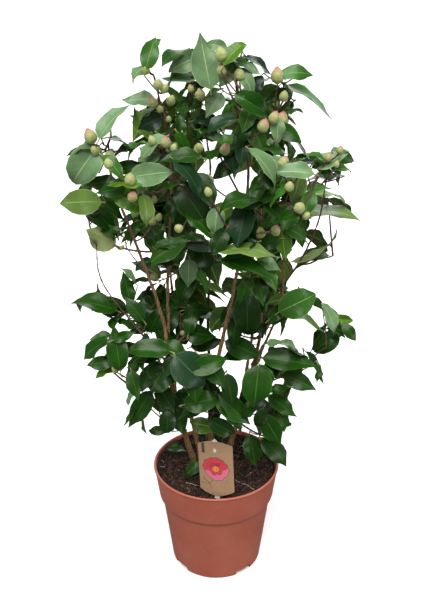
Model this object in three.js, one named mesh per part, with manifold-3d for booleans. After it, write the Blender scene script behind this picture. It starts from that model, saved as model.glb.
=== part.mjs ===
// A camellia shrub in its nursery pot: several stems rise from the soil and carry masses of leaves.
// Millimetres, +Z up. The origin is the centre of the pot's flat underside, on the ground.
import * as THREE from 'three';
import { mergeVertices } from 'three/addons/utils/BufferGeometryUtils.js';
import Module from 'manifold-3d';

const wasm = await Module();
wasm.setup();

// Driving dimensions.
const GAP = 0.3; // clearance between pieces that touch
const POT_HEIGHT = 211;
const RIM_RADIUS = 120;
const COLLAR_HEIGHT = 65; // the straight band round the top of the pot
const COLLAR_FOOT_RADIUS = 110.5;
const BODY_TOP_RADIUS = 104;
const FOOT_RADIUS = 87;
const FOOT_ROUND = 4; // rounding of the bottom edge, in two facets
const FOOT_ROUND_BREAK = 0.3; // where those facets meet, as a share of the rounding
const WALL = 2;
const BASE_THICKNESS = 3;
const LIP_HEIGHT = 4; // the bead round the rim
const LIP_OUT = 2.5; // how far the bead stands out from the collar
const LIP_BEVEL = 1; // slope under the bead
const POT_SIDES = 40;
const NOTCH_COUNT = 4; // drain notches cut up from the bottom edge
const NOTCH_SIZE = 35; // width along the edge
const NOTCH_HEIGHT = 9;
const NOTCH_DEPTH = 14; // inwards from the foot's edge
const NOTCH_TURN = 38; // degrees from +X to the first notch
const SOIL_LEVEL = POT_HEIGHT - 13;
const SOIL_DIP = 4; // how much lower the soil is at the wall
const SOIL_FLAT = 0.9; // the share of its radius over which the soil is flat
const LABEL_WIDTH = 65;
const LABEL_HEIGHT = 95; // at its two sides
const LABEL_ARCH = 10; // rise of the top edge and drop of the bottom edge between the sides
const LABEL_THICKNESS = 1.2;
const LABEL_BEND = 120; // radius of the card's curve in plan
const LABEL_YAW = -16; // degrees, the right edge comes forward
const LABEL_LEAN = -2.5; // degrees, the top leans left
const LABEL_CENTRE = [2, -95];
const LABEL_FOOT = SOIL_LEVEL + LABEL_ARCH + 4; // the lower corners
const LABEL_SLOT_DROP = 18; // from the top of the arch to the slot's centre
const LABEL_SLOT_WIDTH = 6;
const LABEL_SLOT_HEIGHT = 9;
const LABEL_STEPS = 8; // flats that make up the card's curve
const STAKE_WIDTH = 10;
const STAKE_THICKNESS = 2;
const STAKE_DEPTH = 60; // length in the soil
const STAKE_ABOVE = 5; // how far its point shows above the card
const LIMB_SIDES = 6;
const RING_STEP = 55; // distance between the rings of a limb
const FLARE = 2.2; // extra radius at the root flare
const FLARE_HEIGHT = 14; // height over which the flare fades
const UNEVEN = 0.16; // how far a foliage mass swells and dips, as a share of its size
const SEED_STEP = 1.7; // keeps the masses' swellings unlike each other
const LEAST_SHARED = 0.001; // mm3: solids that share less than this are left alone

const POT_CLAY = { color: 0x9a5644, roughness: 0.5, metalness: 0 };
const PEAT = { color: 0x35251c, roughness: 0.95, metalness: 0 };
const BARK = { color: 0x7a5a44, roughness: 0.75, metalness: 0 };
const BROWN_CARD = { color: 0xb08a66, roughness: 0.85, metalness: 0 };
const WHITE_PLASTIC = { color: 0xe6e4da, roughness: 0.45, metalness: 0 };
const LEAF = { color: 0x2f6130, roughness: 0.45, metalness: 0 };

// Each limb: the points its centre line runs through from foot to tip, then its foot and tip radius.
// A limb with a parent branches off it; one without rises from the soil.
const LIMBS = {
  left_stem: {
    route: [[-40, -10, 198], [-58, -35, 295], [-79, -45, 405], [-84, -45, 485], [-99, -45, 565],
      [-144, -45, 709], [-166, -42, 780], [-170, -40, 835]],
    radii: [6.5, 2.6],
  },
  left_centre_stem: {
    parent: 'left_stem',
    route: [[-76, -44, 390], [-82, -20, 450], [-86, 5, 535], [-80, 15, 640], [-75, 15, 762],
      [-80, 10, 846], [-98, 0, 935]],
    radii: [5, 2.2],
  },
  centre_stem: {
    route: [[-12, 5, 198], [-9, -5, 333], [9, -14, 468], [33, -10, 580], [48, 0, 695],
      [54, 8, 763], [50, 10, 830], [30, 8, 925]],
    radii: [7, 2.4],
  },
  right_centre_stem: {
    route: [[16, 16, 198], [50, 24, 320], [74, 25, 428], [82, 25, 493], [75, 25, 600],
      [78, 15, 740], [85, 0, 848], [105, -8, 890]],
    radii: [6, 2.4],
  },
  right_stem: {
    parent: 'right_centre_stem',
    route: [[73, 25, 410], [92, 2, 475], [112, -32, 550], [114, -46, 650], [120, -60, 750]],
    radii: [3.8, 2.2],
  },
  far_right_stem: {
    parent: 'right_centre_stem',
    route: [[80, 25, 470], [102, 20, 540], [138, 10, 604], [172, 2, 688], [184, 0, 770]],
    radii: [3, 1.9],
  },
  back_centre_stem: {
    route: [[-8, 38, 198], [-13, 52, 360], [-15, 60, 500], [-9, 60, 640], [-12, 58, 800],
      [-30, 35, 905]],
    radii: [5, 2],
  },
  back_left_stem: {
    route: [[-32, 34, 198], [-64, 84, 340], [-84, 132, 500], [-92, 146, 660], [-80, 128, 790]],
    radii: [5, 2.2],
  },
  back_right_stem: {
    route: [[24, 40, 198], [56, 90, 340], [80, 136, 500], [92, 150, 660], [74, 124, 790]],
    radii: [5, 2.2],
  },
  lower_left_shoot: {
    parent: 'left_stem',
    route: [[-81, -45, 440], [-120, -35, 485], [-168, -12, 544], [-196, 0, 572], [-204, 4, 650]],
    radii: [2.4, 1.6],
  },
  lower_right_shoot: {
    parent: 'right_centre_stem',
    route: [[58, 24, 350], [100, 14, 378], [150, 14, 405], [200, 6, 455]],
    radii: [2.6, 1.8],
  },
};

function toSolid(geometry) {
  const bare = geometry.clone();
  bare.deleteAttribute('normal');
  bare.deleteAttribute('uv');
  const merged = mergeVertices(bare, 1e-4);
  return new wasm.Manifold(new wasm.Mesh({
    numProp: 3,
    vertProperties: new Float32Array(merged.attributes.position.array),
    triVerts: new Uint32Array(merged.index.array),
  }));
}

function toGeometry(solid) {
  const mesh = solid.getMesh();
  const geometry = new THREE.BufferGeometry();
  geometry.setAttribute('position', new THREE.BufferAttribute(mesh.vertProperties, 3));
  geometry.setIndex(new THREE.BufferAttribute(mesh.triVerts, 1));
  geometry.computeVertexNormals();
  return geometry;
}

function toMesh(name, solid, look) {
  const mesh = new THREE.Mesh(toGeometry(solid), new THREE.MeshStandardMaterial(look));
  mesh.name = name;
  return mesh;
}

// Moves every vertex of a geometry by a function of its position.
function reshape(geometry, move) {
  const position = geometry.attributes.position;
  for (let i = 0; i < position.count; i += 1) {
    const p = move(new THREE.Vector3().fromBufferAttribute(position, i));
    position.setXYZ(i, p.x, p.y, p.z);
  }
  return geometry;
}

// Turns a profile of [radius, height] points about the Z axis.
function turned(profile, sides) {
  const points = profile.map(([radius, height]) => new THREE.Vector2(radius, height));
  return new THREE.LatheGeometry(points, sides).rotateX(Math.PI / 2);
}

function largestPiece(solid) {
  return solid.decompose().sort((a, b) => b.volume() - a.volume())[0];
}

// ---- Pot: a tapered shell with a stepped collar, a bead at the rim and drain notches at the foot ----

const collarFoot = POT_HEIGHT - COLLAR_HEIGHT;
const collarTopRadius = RIM_RADIUS - LIP_OUT;

function pot() {
  const shell = toSolid(turned([
    [0, 0],
    [FOOT_RADIUS - FOOT_ROUND, 0],
    [FOOT_RADIUS - FOOT_ROUND * FOOT_ROUND_BREAK, FOOT_ROUND * FOOT_ROUND_BREAK],
    [FOOT_RADIUS, FOOT_ROUND],
    [BODY_TOP_RADIUS, collarFoot - WALL],
    [COLLAR_FOOT_RADIUS, collarFoot],
    [collarTopRadius, POT_HEIGHT - LIP_HEIGHT],
    [RIM_RADIUS, POT_HEIGHT - LIP_HEIGHT + LIP_BEVEL],
    [RIM_RADIUS, POT_HEIGHT],
    [collarTopRadius - WALL, POT_HEIGHT],
    [COLLAR_FOOT_RADIUS - WALL, collarFoot + WALL],
    [BODY_TOP_RADIUS - WALL, collarFoot],
    [FOOT_RADIUS - WALL, FOOT_ROUND + BASE_THICKNESS],
    [FOOT_RADIUS - WALL - FOOT_ROUND, BASE_THICKNESS],
    [0, BASE_THICKNESS],
  ], POT_SIDES));
  let cut = shell;
  for (let i = 0; i < NOTCH_COUNT; i += 1) {
    const notch = new THREE.BoxGeometry(NOTCH_DEPTH * 2, NOTCH_SIZE, NOTCH_HEIGHT * 2)
      .translate(FOOT_RADIUS, 0, 0)
      .rotateZ(THREE.MathUtils.degToRad(NOTCH_TURN + i * 360 / NOTCH_COUNT));
    cut = cut.subtract(toSolid(notch));
  }
  return toMesh('pot', cut, POT_CLAY);
}

// ---- Label: a card bent about the vertical, hung by its slot on a plastic stake ----

const labelTop = LABEL_FOOT + LABEL_HEIGHT + LABEL_ARCH;

function placeLabel(geometry) {
  return geometry
    .translate(0, 0, -SOIL_LEVEL)
    .rotateY(THREE.MathUtils.degToRad(LABEL_LEAN))
    .rotateZ(THREE.MathUtils.degToRad(LABEL_YAW))
    .translate(LABEL_CENTRE[0], LABEL_CENTRE[1], SOIL_LEVEL);
}

function label() {
  const card = new THREE.BoxGeometry(LABEL_WIDTH, LABEL_THICKNESS, LABEL_HEIGHT, LABEL_STEPS, 1, 1);
  reshape(card, (p) => {
    const across = p.x / (LABEL_WIDTH / 2);
    const arch = LABEL_ARCH * (1 - across * across) * Math.sign(p.z);
    const angle = p.x / LABEL_BEND;
    const radius = LABEL_BEND - p.y;
    return new THREE.Vector3(
      radius * Math.sin(angle),
      LABEL_BEND - radius * Math.cos(angle),
      LABEL_FOOT + LABEL_HEIGHT / 2 + p.z + arch,
    );
  });
  const slotRadius = LABEL_SLOT_WIDTH / 2;
  const slot = new THREE.CylinderGeometry(slotRadius, slotRadius, LABEL_THICKNESS * 8, 10)
    .scale(1, 1, LABEL_SLOT_HEIGHT / LABEL_SLOT_WIDTH)
    .translate(0, 0, labelTop - LABEL_SLOT_DROP);
  return toSolid(placeLabel(card)).subtract(toSolid(placeLabel(slot)));
}

function stake(clearance) {
  const top = labelTop + STAKE_ABOVE;
  const foot = SOIL_LEVEL - STAKE_DEPTH;
  const outline = new THREE.Shape([
    new THREE.Vector2(-STAKE_WIDTH / 2, top - STAKE_WIDTH / 2),
    new THREE.Vector2(-STAKE_WIDTH / 2, foot + STAKE_WIDTH),
    new THREE.Vector2(0, foot),
    new THREE.Vector2(STAKE_WIDTH / 2, foot + STAKE_WIDTH),
    new THREE.Vector2(STAKE_WIDTH / 2, top - STAKE_WIDTH / 2),
    new THREE.Vector2(0, top),
  ]);
  const strip = new THREE.ExtrudeGeometry(outline, { depth: STAKE_THICKNESS, bevelEnabled: false })
    .rotateX(Math.PI / 2);
  const middle = new THREE.Vector3(0, -STAKE_THICKNESS / 2, (top + foot) / 2);
  const grow = new THREE.Vector3(
    1 + 2 * clearance / STAKE_WIDTH,
    1 + 2 * clearance / STAKE_THICKNESS,
    1 + 2 * clearance / (top - foot),
  );
  reshape(strip, (p) => p.sub(middle).multiply(grow).add(middle));
  strip.translate(0, LABEL_THICKNESS / 2 + GAP + STAKE_THICKNESS, 0);
  return toSolid(placeLabel(strip));
}

// ---- Soil: fills the pot, a little lower at the wall, with a slot for the stake ----

function soil() {
  const inner = WALL + GAP;
  const edge = COLLAR_FOOT_RADIUS - inner
    + (collarTopRadius - COLLAR_FOOT_RADIUS) * (SOIL_LEVEL - collarFoot) / COLLAR_HEIGHT;
  const fill = toSolid(turned([
    [0, BASE_THICKNESS + GAP],
    [FOOT_RADIUS - inner - FOOT_ROUND, BASE_THICKNESS + GAP],
    [FOOT_RADIUS - inner, FOOT_ROUND + BASE_THICKNESS + GAP],
    [BODY_TOP_RADIUS - inner, collarFoot + GAP],
    [COLLAR_FOOT_RADIUS - inner - GAP, collarFoot + WALL + GAP],
    [edge - GAP, SOIL_LEVEL - SOIL_DIP],
    [edge * SOIL_FLAT, SOIL_LEVEL],
    [0, SOIL_LEVEL],
  ], POT_SIDES));
  return fill.subtract(stake(GAP));
}

// ---- Limbs: tapering tubes along smooth centre lines, with a flare at the soil ----

// A limb with a clearance is the space that the masses round it leave free.
function limb({ parent, route, radii }, clearance) {
  const points = route.map((p) => new THREE.Vector3(...p));
  if (!parent) points[0].z = SOIL_LEVEL + GAP;
  const curve = new THREE.CatmullRomCurve3(points);
  const rings = Math.ceil(curve.getLength() / RING_STEP);
  const tube = new THREE.CylinderGeometry(1, 1, 1, LIMB_SIDES, rings);
  return toSolid(reshape(tube, (p) => {
    const share = p.y + 0.5;
    const centre = curve.getPointAt(share);
    const along = !parent && share === 0 ? new THREE.Vector3(0, 0, 1) : curve.getTangentAt(share);
    const side = new THREE.Vector3(1, 0, 0).addScaledVector(along, -along.x).normalize();
    const back = new THREE.Vector3().crossVectors(along, side);
    const flare = parent ? 0 : FLARE * Math.exp(-(centre.z - SOIL_LEVEL) / FLARE_HEIGHT);
    const radius = radii[0] + (radii[1] - radii[0]) * share + flare + clearance;
    return centre.addScaledVector(side, p.x * radius).addScaledVector(back, -p.z * radius);
  }));
}

const limbSolids = {};
const limbCutters = {};
for (const [name, plan] of Object.entries(LIMBS)) {
  let solid = limb(plan, 0);
  for (const cutter of Object.values(limbCutters)) solid = largestPiece(solid.subtract(cutter));
  limbSolids[name] = solid;
  limbCutters[name] = limb(plan, GAP);
}

// ---- Foliage: each mass is one closed, uneven solid round a spray of leaves ----

// Centre of each mass, then half its width and half its height. Its depth follows from those two.
const FOLIAGE = {
  top_left_tip: [-104, -15, 958, 26, 34],
  upper_left: [-112, 20, 880, 39, 31],
  left_shoulder: [-86, -60, 832, 43, 31],
  far_left_top: [-163, -45, 860, 37, 36],
  far_left_tip: [-214, -50, 798, 38, 34],
  left_face: [-126, -115, 788, 41, 39],
  far_left_low: [-222, 45, 698, 48, 36],
  left_under: [-184, 30, 654, 36, 28],
  left_inner: [-108, -10, 662, 38, 48],
  centre_left_face: [-46, -95, 772, 36, 60],
  centre_left_high: [-38, 35, 842, 38, 34],
  top_centre_left: [-38, 30, 942, 43, 43],
  top_centre: [30, -25, 956, 39, 37],
  top_right: [120, 10, 912, 61, 44],
  centre_high: [6, 10, 822, 24, 46],
  centre_right_high: [48, -70, 866, 33, 44],
  right_high: [98, -75, 844, 32, 41],
  right_face: [106, -125, 778, 39, 39],
  far_right_top: [176, -40, 790, 42, 41],
  far_right_tip: [200, 60, 700, 55, 30],
  far_right_low: [184, 30, 628, 51, 29],
  centre_face: [26, -115, 724, 36, 48],
  centre_right_mid: [90, -50, 686, 36, 37],
  centre_low_left: [-33, 20, 612, 44, 54],
  centre_low_face: [54, -125, 648, 45, 39],
  lower_left_tip: [-210, 20, 544, 47, 41],
  lower_left_inner: [-132, 0, 506, 44, 43],
  low_left_tip: [-190, -55, 466, 38, 54],
  low_left_face: [-110, -115, 470, 43, 45],
  foot_left: [-100, -60, 362, 62, 44],
  low_centre_left: [-46, 25, 490, 46, 48],
  low_centre_face: [-32, -125, 472, 43, 49],
  low_centre_right: [46, 15, 493, 43, 58],
  right_big_leaf: [146, -25, 556, 38, 36],
  far_right_lower: [218, 25, 472, 47, 55],
  low_right: [136, -60, 454, 51, 51],
  foot_centre: [12, -105, 398, 49, 47],
  low_right_face: [68, -110, 428, 35, 46],
  foot_right: [108, -50, 316, 42, 62],
  back_left_top: [-80, 125, 830, 68, 66],
  back_right_top: [74, 120, 830, 68, 66],
  back_left_mid: [-108, 150, 682, 74, 70],
  back_right_mid: [108, 155, 682, 74, 70],
  back_left_low: [-80, 150, 512, 76, 76],
  back_right_low: [84, 155, 512, 76, 76],
};

function foliageSize([, , , halfWidth, halfHeight]) {
  return new THREE.Vector3(halfWidth, (halfWidth + halfHeight) / 2, halfHeight);
}

function foliage(place, seed) {
  const lump = new THREE.IcosahedronGeometry(1, 1);
  reshape(lump, (p) => {
    const swell = Math.sin(3.1 * p.x + seed) + Math.sin(4.3 * p.y + 2 * seed)
      + Math.sin(3.7 * p.z - seed);
    return p.multiplyScalar(1 + UNEVEN * swell / 2);
  });
  lump.computeBoundingBox();
  const middle = lump.boundingBox.getCenter(new THREE.Vector3());
  const half = lump.boundingBox.getSize(new THREE.Vector3()).divideScalar(2);
  const size = foliageSize(place);
  const centre = new THREE.Vector3(place[0], place[1], place[2]);
  return toSolid(reshape(lump, (p) => p.sub(middle).divide(half).multiply(size).add(centre)));
}

// Parts two neighbours by a plane across the stretch where their sizes overlap.
function partNeighbours(solids, first, second) {
  const a = new THREE.Vector3(...FOLIAGE[first].slice(0, 3));
  const b = new THREE.Vector3(...FOLIAGE[second].slice(0, 3));
  const away = b.clone().sub(a);
  const distance = away.length();
  away.normalize();
  const reachA = foliageSize(FOLIAGE[first]).multiply(away).length();
  const reachB = foliageSize(FOLIAGE[second]).multiply(away).length();
  if (solids[first].intersect(solids[second]).volume() < LEAST_SHARED) return;
  const cut = reachA - Math.max(0, reachA + reachB - distance) / 2 + away.dot(a);
  const back = away.clone().negate();
  solids[first] = solids[first].trimByPlane(back.toArray(), -cut + GAP / 2);
  solids[second] = solids[second].trimByPlane(away.toArray(), cut + GAP / 2);
}

const foliageSolids = {};
Object.entries(FOLIAGE).forEach(([name, place], i) => {
  foliageSolids[name] = foliage(place, i * SEED_STEP);
});
const foliageNames = Object.keys(FOLIAGE);
foliageNames.forEach((first, i) => {
  foliageNames.slice(i + 1).forEach((second) => partNeighbours(foliageSolids, first, second));
});
for (const name of foliageNames) {
  let solid = foliageSolids[name];
  for (const cutter of Object.values(limbCutters)) {
    if (solid.intersect(cutter).volume() > LEAST_SHARED) solid = largestPiece(solid.subtract(cutter));
  }
  foliageSolids[name] = solid;
}

const shrub = new THREE.Group();
shrub.add(pot());
shrub.add(toMesh('soil', soil(), PEAT));
shrub.add(toMesh('label_card', label(), BROWN_CARD));
shrub.add(toMesh('label_stake', stake(0), WHITE_PLASTIC));
for (const [name, solid] of Object.entries(limbSolids)) shrub.add(toMesh(name, solid, BARK));
for (const name of foliageNames) shrub.add(toMesh(`foliage_${name}`, foliageSolids[name], LEAF));

export default shrub;
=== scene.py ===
import math

import bpy
import numpy as np
from mathutils import Matrix, Vector, noise


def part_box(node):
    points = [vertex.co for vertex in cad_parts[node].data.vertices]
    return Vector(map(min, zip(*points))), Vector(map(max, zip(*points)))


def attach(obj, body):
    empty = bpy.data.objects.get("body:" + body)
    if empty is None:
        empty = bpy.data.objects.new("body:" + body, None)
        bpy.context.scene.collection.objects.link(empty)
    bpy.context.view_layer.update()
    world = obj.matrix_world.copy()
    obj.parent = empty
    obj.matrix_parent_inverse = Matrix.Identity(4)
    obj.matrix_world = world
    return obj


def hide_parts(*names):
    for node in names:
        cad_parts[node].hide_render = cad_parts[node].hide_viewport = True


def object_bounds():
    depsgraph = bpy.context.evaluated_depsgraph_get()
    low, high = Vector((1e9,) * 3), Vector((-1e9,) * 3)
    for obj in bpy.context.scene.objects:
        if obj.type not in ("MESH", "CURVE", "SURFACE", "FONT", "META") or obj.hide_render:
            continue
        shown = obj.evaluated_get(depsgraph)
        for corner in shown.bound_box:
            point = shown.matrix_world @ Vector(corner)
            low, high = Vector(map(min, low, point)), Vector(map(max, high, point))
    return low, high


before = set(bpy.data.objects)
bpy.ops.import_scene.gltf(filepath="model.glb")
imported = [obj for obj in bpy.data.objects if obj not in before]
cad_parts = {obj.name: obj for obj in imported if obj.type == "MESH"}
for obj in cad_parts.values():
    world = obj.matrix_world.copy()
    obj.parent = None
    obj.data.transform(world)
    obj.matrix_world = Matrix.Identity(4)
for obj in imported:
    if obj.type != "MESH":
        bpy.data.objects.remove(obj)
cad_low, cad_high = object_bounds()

# ---------------------------------------------------------------------------------------------
# The pot: a round nursery pot with a deep collar, a rolled rim and four drain notches in its
# foot. It is injection moulded in one piece from terracotta-coloured polypropylene, and it
# comes out of the mould with soft corners everywhere and a satin skin.
MM = 0.001
pot_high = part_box("pot")[1]
rim_radius = pot_high.x
pot_height = pot_high.z
pot_wall = 2.2 * MM
pot_sides = 128


def deselect():
    """Leaves nothing selected, so that an operator acts on the new piece only."""
    bpy.ops.object.select_all(action="DESELECT")


def select_only(piece):
    """Selects one piece and makes it the active one."""
    deselect()
    piece.select_set(True)
    bpy.context.view_layer.objects.active = piece


def face_outwards(weld=0.0):
    """Turns the active piece's faces outwards, after points nearer than weld are merged."""
    bpy.ops.object.mode_set(mode="EDIT")
    bpy.ops.mesh.select_all(action="SELECT")
    if weld:
        bpy.ops.mesh.remove_doubles(threshold=weld)
    bpy.ops.mesh.normals_make_consistent(inside=False)
    bpy.ops.object.mode_set(mode="OBJECT")


def ring_arc(radius, height, size, start, end, steps):
    """Points of an arc in the pot's outline, as pairs of radius and height."""
    angles = [math.radians(start + (end - start) * i / steps) for i in range(steps + 1)]
    return [(radius + size * math.cos(a), height + size * math.sin(a)) for a in angles]


def shoulder(low_radius, high_radius, low_height, high_height, steps=6):
    """The soft step from the body out to the collar."""
    radius_step, height_step = high_radius - low_radius, high_height - low_height
    shares = [i / steps for i in range(steps + 1)]
    return [(low_radius + radius_step * s * s * (3 - 2 * s), low_height + height_step * s) for s in shares]


def turn_solid(outline, sides):
    """Draws a filled ring up through every step of an outline, which gives a closed turned solid."""
    deselect()
    radius, height = outline[0]
    bpy.ops.mesh.primitive_circle_add(
        vertices=sides, radius=radius, fill_type="NGON", location=(0, 0, height))
    bpy.ops.object.mode_set(mode="EDIT")
    for next_radius, next_height in outline[1:]:
        bpy.ops.mesh.extrude_region_move(TRANSFORM_OT_translate={"value": (0, 0, next_height - height)})
        ratio = next_radius / radius
        bpy.ops.transform.resize(value=(ratio, ratio, 1), center_override=(0, 0, 0))
        radius, height = next_radius, next_height
    face_outwards()
    bpy.ops.object.transform_apply(location=True, rotation=True, scale=True)
    return bpy.context.object


def apply_modifier(piece, kind, **settings):
    """Adds one modifier with its settings and applies it."""
    select_only(piece)
    modifier = piece.modifiers.new(kind.lower(), kind)
    for name, value in settings.items():
        setattr(modifier, name, value)
    bpy.ops.object.modifier_apply(modifier=modifier.name)


def smooth(piece, degrees):
    """Shades a piece smooth, apart from edges sharper than the angle."""
    select_only(piece)
    bpy.ops.object.shade_smooth_by_angle(angle=math.radians(degrees))


def hand_over(piece, name, slot, *nodes):
    """Names a finished piece, and says what it rides on and stands for. Its slot is not used."""
    piece.name = name
    piece.data.name = name
    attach(piece, "root")
    if nodes:
        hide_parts(*nodes)


foot_radius = 87 * MM
foot_round = 4 * MM
body_top = (104 * MM, 138 * MM)  # its radius and height
collar_foot = (110.5 * MM, 150 * MM)
bead = 2.3 * MM  # radius of the rolled rim
inner_floor = 12 * MM
bead_radius = rim_radius - bead
bead_height = pot_height - bead

pot_outline = ring_arc(foot_radius - foot_round, foot_round, foot_round, -90, 0, 4)
pot_outline += shoulder(body_top[0], collar_foot[0], body_top[1], collar_foot[1])
pot_outline += ring_arc(bead_radius, bead_height, bead, -70, 180, 9)
pot_outline += shoulder(
    collar_foot[0] - pot_wall, body_top[0] - pot_wall, collar_foot[1] - pot_wall, body_top[1] - pot_wall)
pot_outline += [(foot_radius - pot_wall, inner_floor)]
pot = turn_solid(pot_outline, pot_sides)

notch_count = 4
notch_width = 35 * MM
notch_height = 9 * MM
notch_depth = 14 * MM
notch_corner = 1.5 * MM
notch_turn = math.radians(38)
cutters = []
for i in range(notch_count):
    turn = notch_turn + i * math.tau / notch_count
    reach = foot_radius - notch_depth / 2 + notch_depth / 4
    deselect()
    bpy.ops.mesh.primitive_cube_add(
        size=1, location=(reach * math.cos(turn), reach * math.sin(turn), 0), rotation=(0, 0, turn),
        scale=(notch_depth * 1.5, notch_width, notch_height * 2))
    bpy.ops.object.transform_apply(location=True, rotation=True, scale=True)
    bpy.ops.object.mode_set(mode="EDIT")
    bpy.ops.mesh.bevel(offset=notch_corner, segments=3)
    bpy.ops.object.mode_set(mode="OBJECT")
    cutters.append(bpy.context.object)
for cutter in cutters:
    apply_modifier(pot, "BOOLEAN", operation="DIFFERENCE", solver="EXACT", object=cutter)
    bpy.data.objects.remove(cutter)
smooth(pot, 35)


def linear(hex_colour):
    """An sRGB hex colour as the linear colour that a socket takes."""
    channels = [int(hex_colour[i:i + 2], 16) / 255 for i in (1, 3, 5)]
    return [c / 12.92 if c <= 0.04045 else ((c + 0.055) / 1.055) ** 2.4 for c in channels] + [1.0]


def link(material, source, socket):
    """Links an output, or the first output of a node, to a socket."""
    material.node_tree.links.new(getattr(source, "outputs", [source])[0], socket)


def add_node(material, kind, settings=None, links=None):
    """Adds one node to a material, with its settings and the nodes or outputs that feed it."""
    node = material.node_tree.nodes.new(kind)
    for name, value in (settings or {}).items():
        if isinstance(name, int) or name in node.inputs:
            node.inputs[name].default_value = value
        else:
            setattr(node, name, value)
    for name, source in (links or {}).items():
        link(material, source, node.inputs[name])
    return node


def new_material(name, **surface):
    """A material whose shader has these plain settings; its colour and bump are linked after."""
    material = bpy.data.materials.new(name)
    material.use_nodes = True
    shader = material.node_tree.nodes["Principled BSDF"]
    for socket, value in surface.items():
        shader.inputs[socket.replace("_", " ")].default_value = value
    return material, shader


# Moulded polypropylene: satin, with a faint cloudiness of the pigment where the melt flowed, a
# fine orange-peel skin and a film of peat dust that gathers in blotches.
moulded, shader = new_material("moulded polypropylene", Roughness=0.44, IOR=1.49)
clouds_to_metre = 14.0
dust_to_metre = 45.0
place = add_node(moulded, "ShaderNodeTexCoord")
flow = add_node(
    moulded, "ShaderNodeTexNoise", {"Scale": clouds_to_metre, "Detail": 3.0},
    {"Vector": place.outputs["Object"]})
cloud = add_node(moulded, "ShaderNodeMapRange", {"From Min": 0.35, "From Max": 0.7}, {"Value": flow})
clay = add_node(
    moulded, "ShaderNodeMixRGB", {"Color1": linear("#b15b46"), "Color2": linear("#bc6952")}, {"Fac": cloud})
dust = add_node(
    moulded, "ShaderNodeTexNoise", {"Scale": dust_to_metre, "Detail": 6.0, "Roughness": 0.7},
    {"Vector": place.outputs["Object"]})
dusty = add_node(
    moulded, "ShaderNodeMapRange", {"From Min": 0.55, "From Max": 0.8, "To Max": 0.35}, {"Value": dust})
skin_colour = add_node(
    moulded, "ShaderNodeMixRGB", {"Color2": linear("#b98573")}, {"Fac": dusty, "Color1": clay})
link(moulded, skin_colour, shader.inputs["Base Color"])
worn = add_node(moulded, "ShaderNodeMapRange", {"To Min": 0.38, "To Max": 0.56}, {"Value": dust})
link(moulded, worn, shader.inputs["Roughness"])
orange_peel = 2.5 * MM  # coarser than the real 1 mm, which would not show
peel = add_node(
    moulded, "ShaderNodeTexNoise", {"Scale": 1 / orange_peel, "Detail": 2.0},
    {"Vector": place.outputs["Object"]})
peel_bump = add_node(moulded, "ShaderNodeBump", {"Strength": 0.12, "Distance": 0.2 * MM}, {"Height": peel})
link(moulded, peel_bump, shader.inputs["Normal"])
pot.data.materials.append(moulded)
hand_over(pot, "moulded_pot", "pot_plastic", "pot")

# ---------------------------------------------------------------------------------------------
# The potting mix: dark peat, filled to a finger below the rim. Its surface is a crust of crumbs
# with coir fibres, pale grains of fertiliser and grit, and a few white feeding roots.
soil_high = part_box("soil")[1]
soil_radius = soil_high.x
soil_level = soil_high.z
soil_seed = 7
dice = np.random.default_rng(soil_seed)

deselect()
bpy.ops.mesh.primitive_circle_add(
    vertices=64, radius=soil_radius, fill_type="TRIFAN", location=(0, 0, soil_level))
bpy.ops.object.mode_set(mode="EDIT")
bpy.ops.mesh.select_all(action="SELECT")
bpy.ops.mesh.subdivide(number_cuts=22)
bpy.ops.object.mode_set(mode="OBJECT")
bpy.ops.object.transform_apply(location=True, rotation=True, scale=True)
peat = bpy.context.object


def crust(x, y):
    """Height of the peat's surface: lumpy, sunk at the front wall and banked at the sides and back."""
    distance = min(1.0, math.hypot(x, y) / soil_radius)
    mounds = noise.noise(Vector((x, y, 0)) / (28 * MM)) * 2.6
    lumps = mounds + noise.noise(Vector((x, y, 9)) / (7 * MM)) * 1.3
    banked = 13 * distance ** 5 * max(0.0, min(1.0, (y - x * 0.2) / soil_radius + 0.5))
    return soil_level + (lumps - 4.5 * distance ** 3 - 1.5 + banked) * MM


for point in peat.data.vertices:
    point.co.z = crust(point.co.x, point.co.y)
apply_modifier(peat, "SOLIDIFY", thickness=8 * MM, offset=-1)
smooth(peat, 80)

# A crumb or grain starts as an icosahedron, which has twelve points.
golden = (1 + math.sqrt(5)) / 2
crumb_points = np.array([(s, t * golden, 0) for s in (-1, 1) for t in (-1, 1)])
crumb_points = np.concatenate([np.roll(crumb_points, k, axis=1) for k in range(3)])
crumb_points = crumb_points / math.sqrt(1 + golden ** 2)


def shell_faces(points):
    """The outward triangles round a small convex set of points."""
    faces = []
    count = len(points)
    for a in range(count):
        for b in range(a + 1, count):
            for c in range(b + 1, count):
                normal = np.cross(points[b] - points[a], points[c] - points[a])
                side = (points - points[a]) @ normal
                if side.max() < 1e-6:
                    faces.append((a, b, c))
                elif side.min() > -1e-6:
                    faces.append((a, c, b))
    return np.array(faces)


crumb_faces = shell_faces(crumb_points)


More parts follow.
